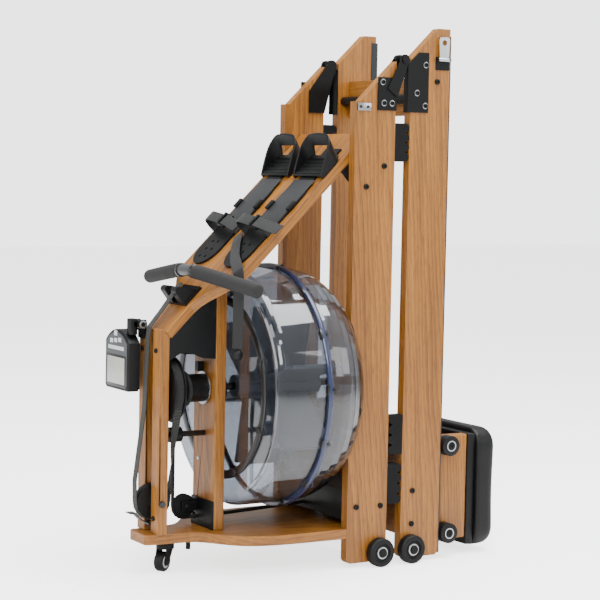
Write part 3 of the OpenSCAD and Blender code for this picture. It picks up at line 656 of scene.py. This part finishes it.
@dataclass
class WoodenFrame:
    """The ash boards, with the steel and rubber screwed to them."""

    at: Layout
    edge_mm: float = 1.6
    head_tall: float = 0.0045
    head_wide: float = 0.02
    # Heads narrower than this get a zinc ring round their base: a painted highlight.
    highlight_ring_below: float = 0.0115
    keeper_z: float = 978
    boards: dict[str, str] = field(default_factory=lambda: {
        "base_board": "ash_along", "front_posts": "ash_up", "spine_board": "ash_up", "footboard": "ash_slope",
        "front_rail_near": "ash_up", "front_rail_far": "ash_up", "rear_rail_near": "ash_up",
        "rear_rail_far": "ash_up", "rear_cross_boards": "ash_across"})
    steel: tuple[str, ...] = ("front_cross_beam", "corner_plates", "pulley_bracket", "monitor_bracket",
                              "front_hinge_brackets", "rear_hinge_plates", "front_bolts", "rear_bolts",
                              "caster_plate", "caster_fork")

    def build(self) -> None:
        """Dresses the boards and steel, and adds the domed screw heads and the keeper."""
        for node, look in self.boards.items():
            dress(node, look, self.edge_mm)
        for node in self.steel:
            dress(node, "powder_coat", 0.4)
        for node in ("front_feet", "rear_feet"):
            dress(node, "rubber", 0.8)
        dress("latch_lever", "zinc", 0.3)
        dress("seat_tracks", "track_black", 0.3)
        self.heads("front_bolts", "base_frame")
        self.heads("rear_bolts", "rear_frame")
        self.keeper()

    def heads(self, node: str, body: str) -> None:
        """Adds a domed, socketed top to each screw head of a node, and round each smaller head a bright zinc ring
        that is a painted highlight.

        Args:
            node: The CAD node that holds the heads.
            body: The body they move with.
        """
        mesh = bmesh.new()
        highlight_rims = bmesh.new()
        for low, high in solids_of(node):
            size = high - low
            middle = (low + high) / 2
            if size.y < self.head_tall and size.x < self.head_wide:
                out = math.copysign(1, middle.y)
                face = high.y if out > 0 else low.y
                turned(mesh, self.dome(size.x / 2), along_y(middle.x, face, middle.z, out), 24)
                # A thin zinc ring round the head's base: a painted highlight, standing for the bright ring of light
                # round these heads.
                if size.x < self.highlight_ring_below:
                    r = size.x / 2
                    turned(highlight_rims, [(r, -0.0026), (r + 0.0016, -0.0026), (r + 0.0016, -0.0018), (r, -0.0014)],
                           along_y(middle.x, face, middle.z, out), 24)
            elif size.x < self.head_tall:
                place = Matrix.Translation((low.x, middle.y, middle.z)) @ Matrix.Rotation(math.radians(-90), 4, "Y")
                turned(mesh, self.dome(size.y / 2), place, 24)
        piece(node + "_domes", mesh, "powder_coat", body)
        piece(node + "_painted_highlight_rings", highlight_rims, "zinc", body)

    def dome(self, r: float) -> list[tuple[float, float]]:
        """Returns the outline of a button head's top with its socket."""
        return [(0, -0.0002), (r, -0.0002), (r * 0.97, 0.0004), (r * 0.82, 0.0010), (r * 0.6, 0.0014),
                (r * 0.42, 0.0015), (r * 0.40, 0.0002), (0, 0.0002)]

    def keeper(self) -> None:
        """Adds the keeper's bright face and its two dark screws on the near front rail."""
        face = bmesh.new()
        rounded_box(face, Vector((0.033, 0.0008, 0.0158)),
                    Matrix.Translation(self.at.spot(20.5, 0, self.keeper_z)
                                       - Vector((0, self.at.rail_out + 0.0024, 0))), 0.0003)
        piece("keeper_face", face, "zinc", "base_frame")
        mesh = bmesh.new()
        for x in (11, 29):
            spot = self.at.spot(x, 0, self.keeper_z)
            turned(mesh, [(0, 0), (0.003, 0), (0.0028, 0.0008), (0, 0.001)],
                   along_y(spot.x, -self.at.rail_out - 0.004, spot.z, -1), 20)
        piece("keeper_screws", mesh, "ring_black", "base_frame")


@dataclass
class WaterTank:
    """Smoked tank of two shells with its seal, clamps, face ring, shaft and paddle."""

    at: Layout
    axis_mm: float = 382
    seam_mm: float = -108
    radius_mm: float = 252.5
    face_mm: float = -222
    ring_mm: float = 186
    clamps: int = 14
    clamp_reach: float = 0.2555
    screw_reach: float = 0.2605
    lugs: int = 8

    def build(self) -> None:
        """Builds the rings and clamps and dresses the shells."""
        for node in ("tank_front_shell", "tank_rear_shell"):
            dress(node, "tank")
            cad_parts[node].data.shade_smooth()
        dress("drive_shaft", "ring_black")
        dress("paddle", "blade_grey", 1.0)
        dress("bearing_housing", "black_abs", 0.6)
        seal = bmesh.new()
        axle = along_x(self.at.front_x, 0, self.axis_mm * MM)
        r, x = self.radius_mm * MM, self.seam_mm * MM
        turned(seal, [(r - 0.003, x - 0.001), (r + 0.001, x - 0.0055), (r + 0.007, x - 0.0055),
                      (r + 0.009, x - 0.003), (r + 0.009, x + 0.003), (r + 0.007, x + 0.0055),
                      (r + 0.001, x + 0.0055), (r - 0.003, x + 0.001)], axle, 128)
        piece("tank_seal_band", seal, "seal_navy", "base_frame", ["tank_rings"])
        ring = bmesh.new()
        r, x = self.ring_mm * MM, self.face_mm * MM
        turned(ring, [(r - 0.009, x), (r - 0.009, x - 0.0028), (r - 0.006, x - 0.004), (r + 0.006, x - 0.004),
                      (r + 0.009, x - 0.0028), (r + 0.009, x)], axle, 128)
        for k in range(self.lugs):
            angle = math.tau * (k + 0.5) / self.lugs
            lug = along_x(self.at.front_x + x - 0.0032, r * math.cos(angle), self.axis_mm * MM + r * math.sin(angle))
            turned(ring, [(0, -0.001), (0.008, -0.001), (0.008, -0.0035), (0.0065, -0.005), (0, -0.005)], lug, 20)
        piece("tank_face_ring", ring, "ring_black", "base_frame")
        self.add_clamps()

    def add_clamps(self) -> None:
        """Adds the black clamps that pinch the seal round the seam."""
        mesh = bmesh.new()
        for k in range(self.clamps):
            turn = Matrix.Rotation(math.tau * (k + 0.35) / self.clamps, 4, "X")
            place = Matrix.Translation((self.at.front_x + self.seam_mm * MM, 0, self.axis_mm * MM)) @ turn
            rounded_box(mesh, Vector((0.017, 0.020, 0.011)), place @ Matrix.Translation((0, 0, self.clamp_reach)),
                        0.002)
            turned(mesh, [(0, 0), (0.0035, 0), (0.0035, 0.003), (0, 0.003)],
                   place @ Matrix.Translation((0.006, 0, self.screw_reach)), 12)
        piece("tank_clamps", mesh, "ring_black", "base_frame")


@dataclass
class Drive:
    """Spool, pulleys, guard, belt and return cord under the neck."""

    at: Layout
    looks: dict[str, tuple[str, float]] = field(default_factory=lambda: {
        "belt_spool": ("black_abs", 0.5), "front_pulley": ("black_abs", 0.5), "guide_roller": ("black_abs", 0.8),
        "cord_pulley": ("black_abs", 0.4), "neck_shroud": ("black_abs", 0.5), "handle_rest": ("black_abs", 1.0),
        "pulley_axles": ("ring_black", 0.4), "belt_guard": ("track_black", 0.3), "drive_belt": ("belt", 0.0),
        "return_cord": ("cord", 0.0)})
    axis: float = 0.382
    winding_r: float = 0.0345
    winding_pitch: float = 0.0083
    cord_r: float = 0.004
    turn_parts: int = 24

    def build(self) -> None:
        """Dresses the drive, winds cord and belt on the spool, and adds its end ring and a screw."""
        for node, (look, edge) in self.looks.items():
            dress(node, look, edge)
        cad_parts["return_cord"].data.shade_smooth()
        mesh = bmesh.new()
        hub = self.at.spot(-316.9, 0, 382)
        points = []
        for k in range(self.turn_parts + 1):
            angle = math.tau * k / self.turn_parts
            points.append(Vector((hub.x + self.winding_pitch * k / self.turn_parts, self.winding_r * math.cos(angle),
                                  hub.z + self.winding_r * math.sin(angle))))
        tube(mesh, points, [self.cord_r] * len(points), 10)
        piece("cord_winding", mesh, "cord", "spool")
        spool = bmesh.new()
        turned(spool, [(0.058, -0.3605), (0.0645, -0.3605), (0.0645, -0.3425), (0.058, -0.3425)],
               along_x(self.at.front_x, 0, self.axis), 96)
        piece("wound_belt", spool, "webbing", "spool")
        ring = bmesh.new()
        turned(ring, [(0.0285, -0.2690), (0.0350, -0.2690), (0.0350, -0.2665), (0.0285, -0.2665)],
               along_x(self.at.front_x, 0, self.axis), 64)
        piece("hub_end_ring", ring, "zinc", "spool")
        screw = bmesh.new()
        spot = self.at.spot(-262, 26, 228)
        turned(screw, [(0, -0.0004), (0.0042, -0.0004), (0.0036, 0.0014), (0, 0.0018)],
               Matrix.Translation(spot) @ Matrix.Rotation(math.radians(-90), 4, "Y"), 20)
        piece("spine_screw", screw, "zinc", "base_frame")


@dataclass
class Handle:
    """Bent tube with two long foam grips and their collars."""

    at: Layout
    half_mm: float = 248
    straight_mm: float = 30
    tube_mm: float = 12.2
    middle_x_mm: float = -308
    middle_z_mm: float = 630.5
    sweep_mm: float = 33.5
    drop_mm: float = 28.6
    softness: float = 0.09

    def centre(self, y: float) -> Vector:
        """Finds a point on the handle's centre line.

        Args:
            y: Millimetres from the middle, positive to the far side.

        Returns:
            The point.
        """
        reach = (abs(y) - self.straight_mm) / (self.half_mm - self.straight_mm)
        bend = (reach + math.sqrt(reach * reach + self.softness * self.softness)) / 2
        return self.at.spot(self.middle_x_mm + self.sweep_mm * bend, y, self.middle_z_mm - self.drop_mm * bend)

    def build(self) -> None:
        """Builds the tube, grips and collars."""
        bar = bmesh.new()
        path = [self.centre(y) for y in range(-225, 226, 9)]
        tube(bar, path, [self.tube_mm * MM] * len(path), 32)
        piece("handle_tube", bar, "tube_grey", "handle", ["handle_bar"])
        for side, name in ((-1, "near"), (1, "far")):
            grip = bmesh.new()
            spans = [35, 36.5, 40] + list(range(50, 240, 12)) + [242, 245.5, 247.6, 248.4]
            radii = [0.0132, 0.0146, 0.015] + [0.015] * (len(spans) - 7) + [0.015, 0.0142, 0.0115, 0.006]
            tube(grip, [self.centre(side * y) for y in spans], radii, 32)
            piece("grip_" + name, grip, "foam", "handle", ["handle_grips"] if side < 0 else ())
            collar = bmesh.new()
            tube(collar, [self.centre(side * y) for y in (26, 27, 34, 35)], [0.0138, 0.0148, 0.0148, 0.0138], 32)
            piece("grip_collar_" + name, collar, "ring_black", "handle")


@dataclass
class Footrests:
    """Toe plates, straps with buckles, heel cups and the loose heel strap."""

    at: Layout
    toe_mm: float = 70
    strap_mm: float = 26
    strap_half_thick: float = 0.0011
    overhang_mm: float = 133.0
    ball_r: float = 0.0119
    cup_front: float = 452
    cup_back: float = 516.0

    def build(self) -> None:
        """Builds the straps and dresses the plates and cups."""
        dress("toe_plates", "black_abs", 1.0)
        for side, name in ((-1, "near"), (1, "far")):
            self.heel_cup(side, name)
        self.soles()
        self.toe_straps()
        self.heel_strap()

    def heel_cup(self, side: int, name: str) -> None:
        """Moulds one heel cup: a U of wall with a cut-out at the back, on a ribbed floor.

        Args:
            side: -1 for the near foot, 1 for the far one.
            name: Which foot, for the piece's name.
        """
        front, back, corner, half, thick = self.cup_front, self.cup_back, 24.0, 56.5, 2.4
        path = [(front + (back - corner - front) * k / 8, half, 0.0) for k in range(8)]
        path += [(back - corner + corner * math.sin(a), half - corner + corner * math.cos(a), a)
                 for a in (math.radians(9 * k) for k in range(11))]
        path += [(back, (half - corner) * (1 - k / 4), math.pi / 2) for k in range(1, 4)]
        path += [(s, -y, math.pi - a) for s, y, a in reversed(path)]
        mesh = bmesh.new()
        rings = []
        for s, y, a in path:
            reach = (s - front) / (back - front)
            top = 8 + 44 * reach + 5 * max(0.0, 1 - abs(y) / 50)
            opened = min(1.0, max(0.0, (46 - abs(y)) / 14)) if s > back - corner else 0.0
            foot = 0.6 + 29.4 * opened * opened * (3 - 2 * opened)
            out = (math.sin(a) * thick, math.cos(a) * thick)
            lean = 0.29 * reach
            rings.append([mesh.verts.new(self.at.board(s + lean * n + k * out[0], n,
                                                       side * self.toe_mm + y + k * out[1]))
                          for k, n in ((1, foot), (1, top), (-1, top), (-1, foot))])
        skin(mesh, rings)
        rounded_box(mesh, Vector((0.063, 0.110, 0.004)), self.at.board_matrix(484, 7.6, side * self.toe_mm), 0.0015)
        for k in range(5):
            rounded_box(mesh, Vector((0.004, 0.098, 0.002)),
                        self.at.board_matrix(460 + 11 * k, 10.2, side * self.toe_mm), 0.0008)
        cup = piece("heel_cup_%s_shell" % name, mesh, "black_abs", "heel_" + name,
                    ["heel_cup_" + name], smooth=50)
        soft = cup.modifiers.new("edges", "BEVEL")
        soft.width = 0.001
        soft.segments = 2
        soft.limit_method = "ANGLE"
        soft.angle_limit = math.radians(55)

    def soles(self) -> None:
        """Lays the grey sole pads and the black strap adjusters on the toe plates."""
        pads = bmesh.new()
        tabs = bmesh.new()
        for side in (-1, 1):
            rounded_box(pads, Vector((0.142, 0.084, 0.0009)), self.at.board_matrix(372, 5.1, side * self.toe_mm),
                        0.0003)
            for out in (-44, 44):
                rounded_box(tabs, Vector((0.024, 0.013, 0.006)),
                            self.at.board_matrix(364, 8.0, side * self.toe_mm + out), 0.0015)
        piece("sole_pads", pads, "sole_grey", "base_frame")
        piece("strap_adjusters", tabs, "black_abs", "base_frame")

    def toe_straps(self) -> None:
        """Arches a strap over each toe, with its buckle and folded end."""
        mesh = bmesh.new()
        buckles = bmesh.new()
        up = Vector((math.cos(self.at.slope), 0, math.sin(self.at.slope)))
        rise = ((48, 1.5), (50, 22), (40, 40), (12, 37), (-16, 28), (-38, 17), (-48, 1.5))
        for side, reach in ((-1, 92), (1, 52)):
            arch = smooth_path([self.at.board(292, n, side * self.toe_mm + y) for y, n in rise], 5)
            tube(mesh, arch, [self.strap_mm * MM / 2] * len(arch), 12, flat=up, thick=self.strap_half_thick)
            place = self.at.board_matrix(292, 29, side * self.toe_mm - 20) @ Matrix.Rotation(0.38, 4, "X")
            rounded_box(buckles, Vector((0.034, 0.024, 0.008)), place, 0.002)
            rounded_box(buckles, Vector((0.030, 0.005, 0.013)), place @ Matrix.Translation((0, 0.006, 0.002)),
                        0.0015)
            tail = [self.at.board(291 - 0.8 * k, 34 - 1.3 * k, side * self.toe_mm - 22 - reach * k / 10)
                    for k in range(11)]
            tube(mesh, tail, [self.strap_mm * MM / 2] * len(tail), 12, flat=up, thick=self.strap_half_thick)
        piece("toe_strap_webbing", mesh, "webbing", "base_frame", ["toe_straps"])
        piece("toe_strap_buckles", buckles, "black_abs", "base_frame")

    def board_z(self, x: float, n: float) -> float:
        """Returns the height in mm of a point n mm off the footboard's face at x mm."""
        return 507 + (x + 380) * math.tan(self.at.slope) + n / math.cos(self.at.slope)

    def heel_strap(self) -> None:
        """Lays the loose strap over the board's edge, with its ball end."""
        edge = self.overhang_mm
        lie = [(-186, 4, 3), (-203, -22, 8), (-222, -50, 8.5), (-238, -78, 8.5), (-248, -103, 8), (-255, -122, 7),
               (-259, -edge, 4.5)]
        route = [self.at.spot(x, y, self.board_z(x, n)) for x, y, n in lie]
        route += [self.at.spot(-260, -edge - 4.5, z) for z in (612, 585, 550, 510, 476.3)]
        fine = smooth_path(route, 6)
        mesh = bmesh.new()
        tube(mesh, fine, [self.strap_mm * MM / 2] * len(fine), 12, flat=Vector((0.55, -0.55, 0.6)),
             thick=self.strap_half_thick)
        strap = piece("heel_strap_webbing", mesh, "webbing", "base_frame", ["heel_strap"])
        ball = bmesh.new()
        bmesh.ops.create_uvsphere(ball, u_segments=32, v_segments=20, radius=self.ball_r,
                                  matrix=Matrix.Translation(self.at.spot(-260, -edge - 4.5, 464)))
        end = piece("heel_strap_ball", ball, "black_abs", "base_frame")


@dataclass
class Monitor:
    """Arched monitor with its screen and keys."""

    at: Layout
    low_y: float = 18
    width: float = 113
    low_z: float = 377
    height: float = 127
    front_x: float = -433
    depth: float = 27
    crown: float = 75
    foot_corner: float = 6

    def outline(self, inset: float) -> list[tuple[float, float]]:
        """Draws the arched outline.

        Args:
            inset: Millimetres that it is pulled in by.

        Returns:
            Points across and up, in mm.
        """
        half = self.width / 2 - inset
        middle = self.low_y + self.width / 2
        centre_z = self.low_z + self.height - self.crown
        radius = self.crown - inset
        foot = self.foot_corner
        start = math.asin(min(1, half / radius))
        points = [(middle - half, self.low_z + inset + foot), (middle - half + foot, self.low_z + inset),
                  (middle + half - foot, self.low_z + inset), (middle + half, self.low_z + inset + foot)]
        for k in range(25):
            angle = start * (1 - k / 12)
            points.append((middle + radius * math.sin(angle), centre_z + radius * math.cos(angle)))
        return points

    def plate(self, mesh: bmesh.types.BMesh, inset: float, x0: float, x1: float, edge: float) -> None:
        """Adds the outline as a plate with a rounded front edge.

        Args:
            mesh: The bmesh to add to.
            inset: Millimetres that the outline is pulled in by.
            x0: Front of the plate, in mm.
            x1: Back of the plate, in mm.
            edge: Radius of the front edge.
        """
        verts = [mesh.verts.new(self.at.spot(x1, y, z)) for y, z in self.outline(inset)]
        face = mesh.faces.new(verts)
        made = bmesh.ops.extrude_face_region(mesh, geom=[face])
        top = [v for v in made["geom"] if isinstance(v, bmesh.types.BMVert)]
        bmesh.ops.translate(mesh, vec=((x0 - x1) * MM, 0, 0), verts=top)
        rim = [e for e in mesh.edges if all(v in top for v in e.verts)]
        soften(mesh, rim, edge, 3)
        mark_done(mesh)

    def build(self) -> None:
        """Builds the case, face and screen and dresses the keys."""
        case = bmesh.new()
        self.plate(case, 0, self.front_x, self.front_x + self.depth, 0.004)
        tilt = self.at.spot(-403, 22.6, 518)
        turned(case, [(0.0031, 0), (0.009, 0), (0.009, 0.0208), (0.0031, 0.0208)], along_y(*tilt), 32)
        arm = bmesh.new()
        rounded_box(arm, Vector((0.016, 0.0206, 0.034)), Matrix.Translation(self.at.spot(-417, 33, 512)), 0.002)
        rounded_box(arm, Vector((0.016, 0.0206, 0.014)), Matrix.Translation(self.at.spot(-411, 33, 518)), 0.002)
        piece("monitor_shell", case, "black_abs", "monitor", ["monitor_case"])
        piece("monitor_arm", arm, "black_abs", "monitor")
        face = bmesh.new()
        self.plate(face, 6, self.front_x - 0.5, self.front_x + 1, 0.0006)
        piece("monitor_face", face, "face_grey", "monitor")
        glass = bmesh.new()
        rounded_box(glass, Vector((0.0024, 0.093, 0.0655)),
                    Matrix.Translation(self.at.spot(self.front_x - 0.2, 74, 417.8)), 0.0008)
        piece("screen_frame", glass, "ring_black", "monitor")
        lcd = bmesh.new()
        rounded_box(lcd, Vector((0.0014, 0.084, 0.056)),
                    Matrix.Translation(self.at.spot(self.front_x - 1.0, 74, 417.8)), 0.0004)
        piece("screen_glass", lcd, "lcd", "monitor", ["monitor_screen"])
        for node in ("key_start", "key_left", "key_middle", "key_right", "key_strip"):
            dress(node, "key_grey", 0.9)
        knob = bmesh.new()
        hub = self.at.spot(-403, 10, 518)
        turned(knob, [(0.005, 0), (0.0085, 0), (0.0085, 0.0008), (0.005, 0.0008)], along_y(*hub, -1), 32)
        piece("tilt_knob_ring", knob, "zinc", "base_frame")


@dataclass
class RollingGear:
    """Rail wheels, caster and seat rollers, and the hub rings of the wheels."""

    caster_heading_deg: float = 214

    def build(self) -> None:
        """Dresses the wheels and adds hub rings."""
        for node in ("front_wheels", "rear_wheels", "seat_rollers_upper", "seat_rollers_lower", "caster_wheel"):
            dress(node, "tyre", 0.6)
            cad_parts[node].data.shade_smooth()
        for node in ("front_wheels", "rear_wheels"):
            low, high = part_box(node)
            mesh = bmesh.new()
            for out in (-1, 1):
                hub = along_y((low[0] + high[0]) / 2, out * (high[1] - 0.004), (low[2] + high[2]) / 2, out)
                turned(mesh, [(0.0095, 0), (0.0128, 0), (0.0128, 0.0034), (0.0118, 0.0042), (0.0103, 0.0042),
                              (0.0095, 0.0034)], hub, 40)
            piece(node + "_hub_rings", mesh, "zinc", node)
        low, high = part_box("caster_wheel")
        middle = Vector([(a + b) / 2 for a, b in zip(low, high)])
        mesh = bmesh.new()
        heading = Matrix.Rotation(math.radians(self.caster_heading_deg), 4, "Z")
        for out in (-1, 1):
            place = Matrix.Translation(middle) @ heading @ along_y(0, out * 0.0094, 0, out)
            turned(mesh, [(0.009, 0), (0.0135, 0), (0.0135, 0.0006), (0.009, 0.0006)], place, 32)
        piece("caster_hub_rings", mesh, "hub_light", "caster_roll")


@dataclass
class Seat:
    """Upholstered seat on a black plate, with ash side boards."""

    at: Layout
    corner: float = 0.042
    shrink: float = 0.004
    cap: float = 0.004
    evening: int = 40
    front_edge: float = 0.020
    voxel: float = 0.006
    pressure: float = 1.5
    cloth_steps: int = 20
    held_depth: float = 0.004
    axle_heights: tuple[float, float] = (55, 248)
    axle_x: float = 262
    axle_end: float = 0.1642

    def build(self) -> None:
        """Builds the carriage pieces and the padded cushion."""
        boards = bmesh.new()
        for side in (-1, 1):
            low, high = self.at.spot(243, 114, 36), self.at.spot(324, 136, 268)
            middle = (low + high) / 2
            middle.y *= side
            rounded_box(boards, high - low, Matrix.Translation(middle), 0.004, 3)
        piece("seat_side_boards", boards, "ash_up", "seat", ["seat_carriage"])
        plate = bmesh.new()
        low, high = self.at.spot(324.2, -138, 20), self.at.spot(345, 138, 268)
        rounded_box(plate, high - low, Matrix.Translation((low + high) / 2), 0.003, 3)
        piece("seat_plate", plate, "black_abs", "seat")
        axles = bmesh.new()
        for z in self.axle_heights:
            spot = self.at.spot(self.axle_x, -166, z)
            turned(axles, [(0, 0), (0.005, 0), (0.005, 0.332), (0, 0.332)], along_y(spot.x, spot.y, spot.z), 24)
            for out in (-1, 1):
                turned(axles, [(0, 0), (0.0095, 0), (0.0095, 0.001), (0.006, 0.0035), (0.0028, 0.0035),
                               (0.0028, 0.001), (0, 0.001)], along_y(spot.x, out * self.axle_end, spot.z, out), 24)
        piece("seat_axles", axles, "powder_coat", "seat")
        rings = bmesh.new()
        for z in self.axle_heights:
            spot = self.at.spot(self.axle_x, 0, z)
            for out in (-1, 1):
                turned(rings, [(0.0096, -0.0001), (0.0118, -0.0001), (0.0118, 0.0009), (0.0096, 0.0009)],
                       along_y(spot.x, out * self.axle_end, spot.z, out), 24)
        piece("seat_axle_rings", rings, "zinc", "seat")
        self.cushion()

    def cushion(self) -> None:
        """Rounds a block into the seat cushion, swells it and evens it."""
        low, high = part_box("seat_cushion")
        low, high = Vector(low), Vector(high)
        mesh = bmesh.new()
        size = high - low - Vector((self.shrink, 2 * self.shrink, 2 * self.shrink))
        bmesh.ops.create_cube(mesh, size=1.0)
        bmesh.ops.scale(mesh, vec=size, verts=mesh.verts)
        centre = (low + high) / 2 - Vector((self.shrink / 2, 0, 0))
        bmesh.ops.translate(mesh, vec=centre, verts=mesh.verts)
        posts = [e for e in mesh.edges if abs(e.verts[0].co.x - e.verts[1].co.x) > 0.01]
        soften(mesh, posts, self.corner, 10)
        front = [e for e in mesh.edges if all(v.co.x > centre.x for v in e.verts) and len(e.link_faces) == 2
                 and any(abs(f.normal.x) > 0.9 for f in e.link_faces)]
        soften(mesh, front, self.front_edge, 6)
        obj = piece("seat_pad", mesh, "upholstery", "seat", ["seat_cushion"], smooth=60)
        remesh = obj.modifiers.new("even", "REMESH")
        remesh.mode = "VOXEL"
        remesh.voxel_size = self.voxel
        apply_modifiers(obj)
        self.swell(obj, low.x)
        obj.modifiers.new("fine", "SUBSURF").levels = 1
        obj.modifiers["fine"].render_levels = 1
        obj.data.shade_smooth()

    def swell(self, obj: bpy.types.Object, back: float) -> None:
        """Runs the cloth simulation on the pad, caps how far it swells and evens the rest over its neighbours.

        Args:
            obj: The pad.
            back: X of its mounting face, which stays put.
        """
        before = [v.co.copy() for v in obj.data.vertices]
        group = obj.vertex_groups.new(name="held")
        group.add([v.index for v in obj.data.vertices if v.co.x < back + self.held_depth], 1.0, "REPLACE")
        cloth = obj.modifiers.new("swell", "CLOTH")
        cloth.settings.use_pressure = True
        cloth.settings.uniform_pressure_force = self.pressure
        cloth.settings.effector_weights.gravity = 0
        cloth.settings.vertex_group_mass = "held"
        cloth.collision_settings.use_self_collision = False
        for step in range(1, self.cloth_steps + 1):
            bpy.context.scene.frame_set(step)
        apply_modifiers(obj)
        moves = []
        for vert, start in zip(obj.data.vertices, before):
            moved = vert.co - start
            moves.append(moved * min(1.0, self.cap / max(moved.length, 1e-6)))
        beside = [[] for _ in moves]
        for edge in obj.data.edges:
            beside[edge.vertices[0]].append(edge.vertices[1])
            beside[edge.vertices[1]].append(edge.vertices[0])
        for _ in range(self.evening):
            moves = [sum((moves[k] for k in near), moved) / (len(near) + 1) for near, moved in zip(beside, moves)]
        for vert, start, moved in zip(obj.data.vertices, before, moves):
            vert.co = start + moved
            vert.co.x = max(vert.co.x, back)
        bpy.context.scene.frame_set(1)


@dataclass
class Studio:
    """Camera, soft lights and a pale floor."""

    at: Layout
    lens: float = 108.0
    sensor_mm: float = 36.0
    offset: tuple[float, float, float] = (-2.01614, -3.34746, 0.84265)
    heading: tuple[float, float, float] = (0.50841, 0.85811, -0.07188)
    roll_deg: float = 1.1263
    world_light: float = 0.75
    world_seen: float = 2.4
    floor_seen: float = 2.2
    # Name, place, size and power of each light.
    lights: tuple = (("key", (-2.4, -3.2, 3.0), 2.2, 170), ("fill", (-3.6, 0.6, 1.6), 2.0, 60),
                     ("top", (0.6, -0.4, 3.4), 2.6, 230), ("side", (2.6, -2.6, 1.8), 1.6, 26))

    def build(self) -> None:
        """Builds the camera, the lights and the floor."""
        self.camera()
        world = bpy.data.worlds.new("studio")
        bpy.context.scene.world = world
        world.use_nodes = True
        tree = world.node_tree
        sky = tree.nodes["Background"]
        sky.inputs["Color"].default_value = linear("#ffffff")
        # The camera sees the backdrop, and the floor below, brighter than the light that they give.
        ray = add(tree, "LightPath")
        strength = add(tree, "Math", {0: ray.outputs["Is Camera Ray"], 1: self.world_seen, 2: self.world_light},
                       operation="MULTIPLY_ADD")
        tree.links.new(strength.outputs[0], sky.inputs["Strength"])
        for lamp in self.lights:
            self.light(*lamp)
        mesh = bmesh.new()
        bmesh.ops.create_grid(mesh, x_segments=1, y_segments=1, size=14)
        data = bpy.data.meshes.new("floor")
        mesh.to_mesh(data)
        mesh.free()
        floor = bpy.data.objects.new("floor", data)
        bpy.context.collection.objects.link(floor)
        material, floor_tree, shader = bare_material("pale_floor")
        seen = add(floor_tree, "LightPath")
        glow = add(floor_tree, "Math", {0: seen.outputs["Is Camera Ray"], 1: self.floor_seen}, operation="MULTIPLY")
        plug(floor_tree, shader, {"Base Color": linear("#fafafa"), "Roughness": 0.7,
                                  "Emission Color": linear("#ffffff"), "Emission Strength": glow.outputs[0]})
        data.materials.append(material)

    def camera(self) -> None:
        """Places the camera in front of the near corner, 0.84 m up and looking slightly down."""
        place = Vector((self.at.front_x + self.offset[0], self.offset[1], self.offset[2]))
        forward = Vector(self.heading).normalized()
        right = forward.cross(Vector((0, 0, 1))).normalized()
        up = right.cross(forward)
        roll = math.radians(self.roll_deg)
        side = right * math.cos(roll) + up * math.sin(roll)
        top = up * math.cos(roll) - right * math.sin(roll)
        turn = Matrix((side, top, -forward)).transposed().to_4x4()
        data = bpy.data.cameras.new("camera")
        data.lens = self.lens
        data.sensor_width = self.sensor_mm
        data.clip_end = 60
        cam = bpy.data.objects.new("camera", data)
        cam.matrix_world = Matrix.Translation(place) @ turn
        bpy.context.collection.objects.link(cam)
        bpy.context.scene.camera = cam

    def light(self, name: str, place: tuple[float, float, float], size: float, power: float) -> None:
        """Adds one soft square light aimed at the machine's middle.

        Args:
            name: The light's name.
            place: Where it hangs.
            size: Its side.
            power: Its power in watts.
        """
        data = bpy.data.lights.new(name, "AREA")
        data.shape = "SQUARE"
        data.size = size
        data.energy = power
        obj = bpy.data.objects.new(name, data)
        aim = Vector((0, 0, 0.55)) - Vector(place)
        obj.matrix_world = Matrix.Translation(place) @ aim.to_track_quat("-Z", "Y").to_matrix().to_4x4()
        bpy.context.collection.objects.link(obj)


def main() -> None:
    """Builds the whole machine, piece by piece."""
    logging.basicConfig(level=logging.INFO, format="%(message)s")
    at = Layout()
    Studio(at).build()
    for part in (Footrests(at), WoodenFrame(at), WaterTank(at), Drive(at), Handle(at), Monitor(at),
                 RollingGear(), Seat(at)):
        part.build()


if __name__ == "__main__":
    main()
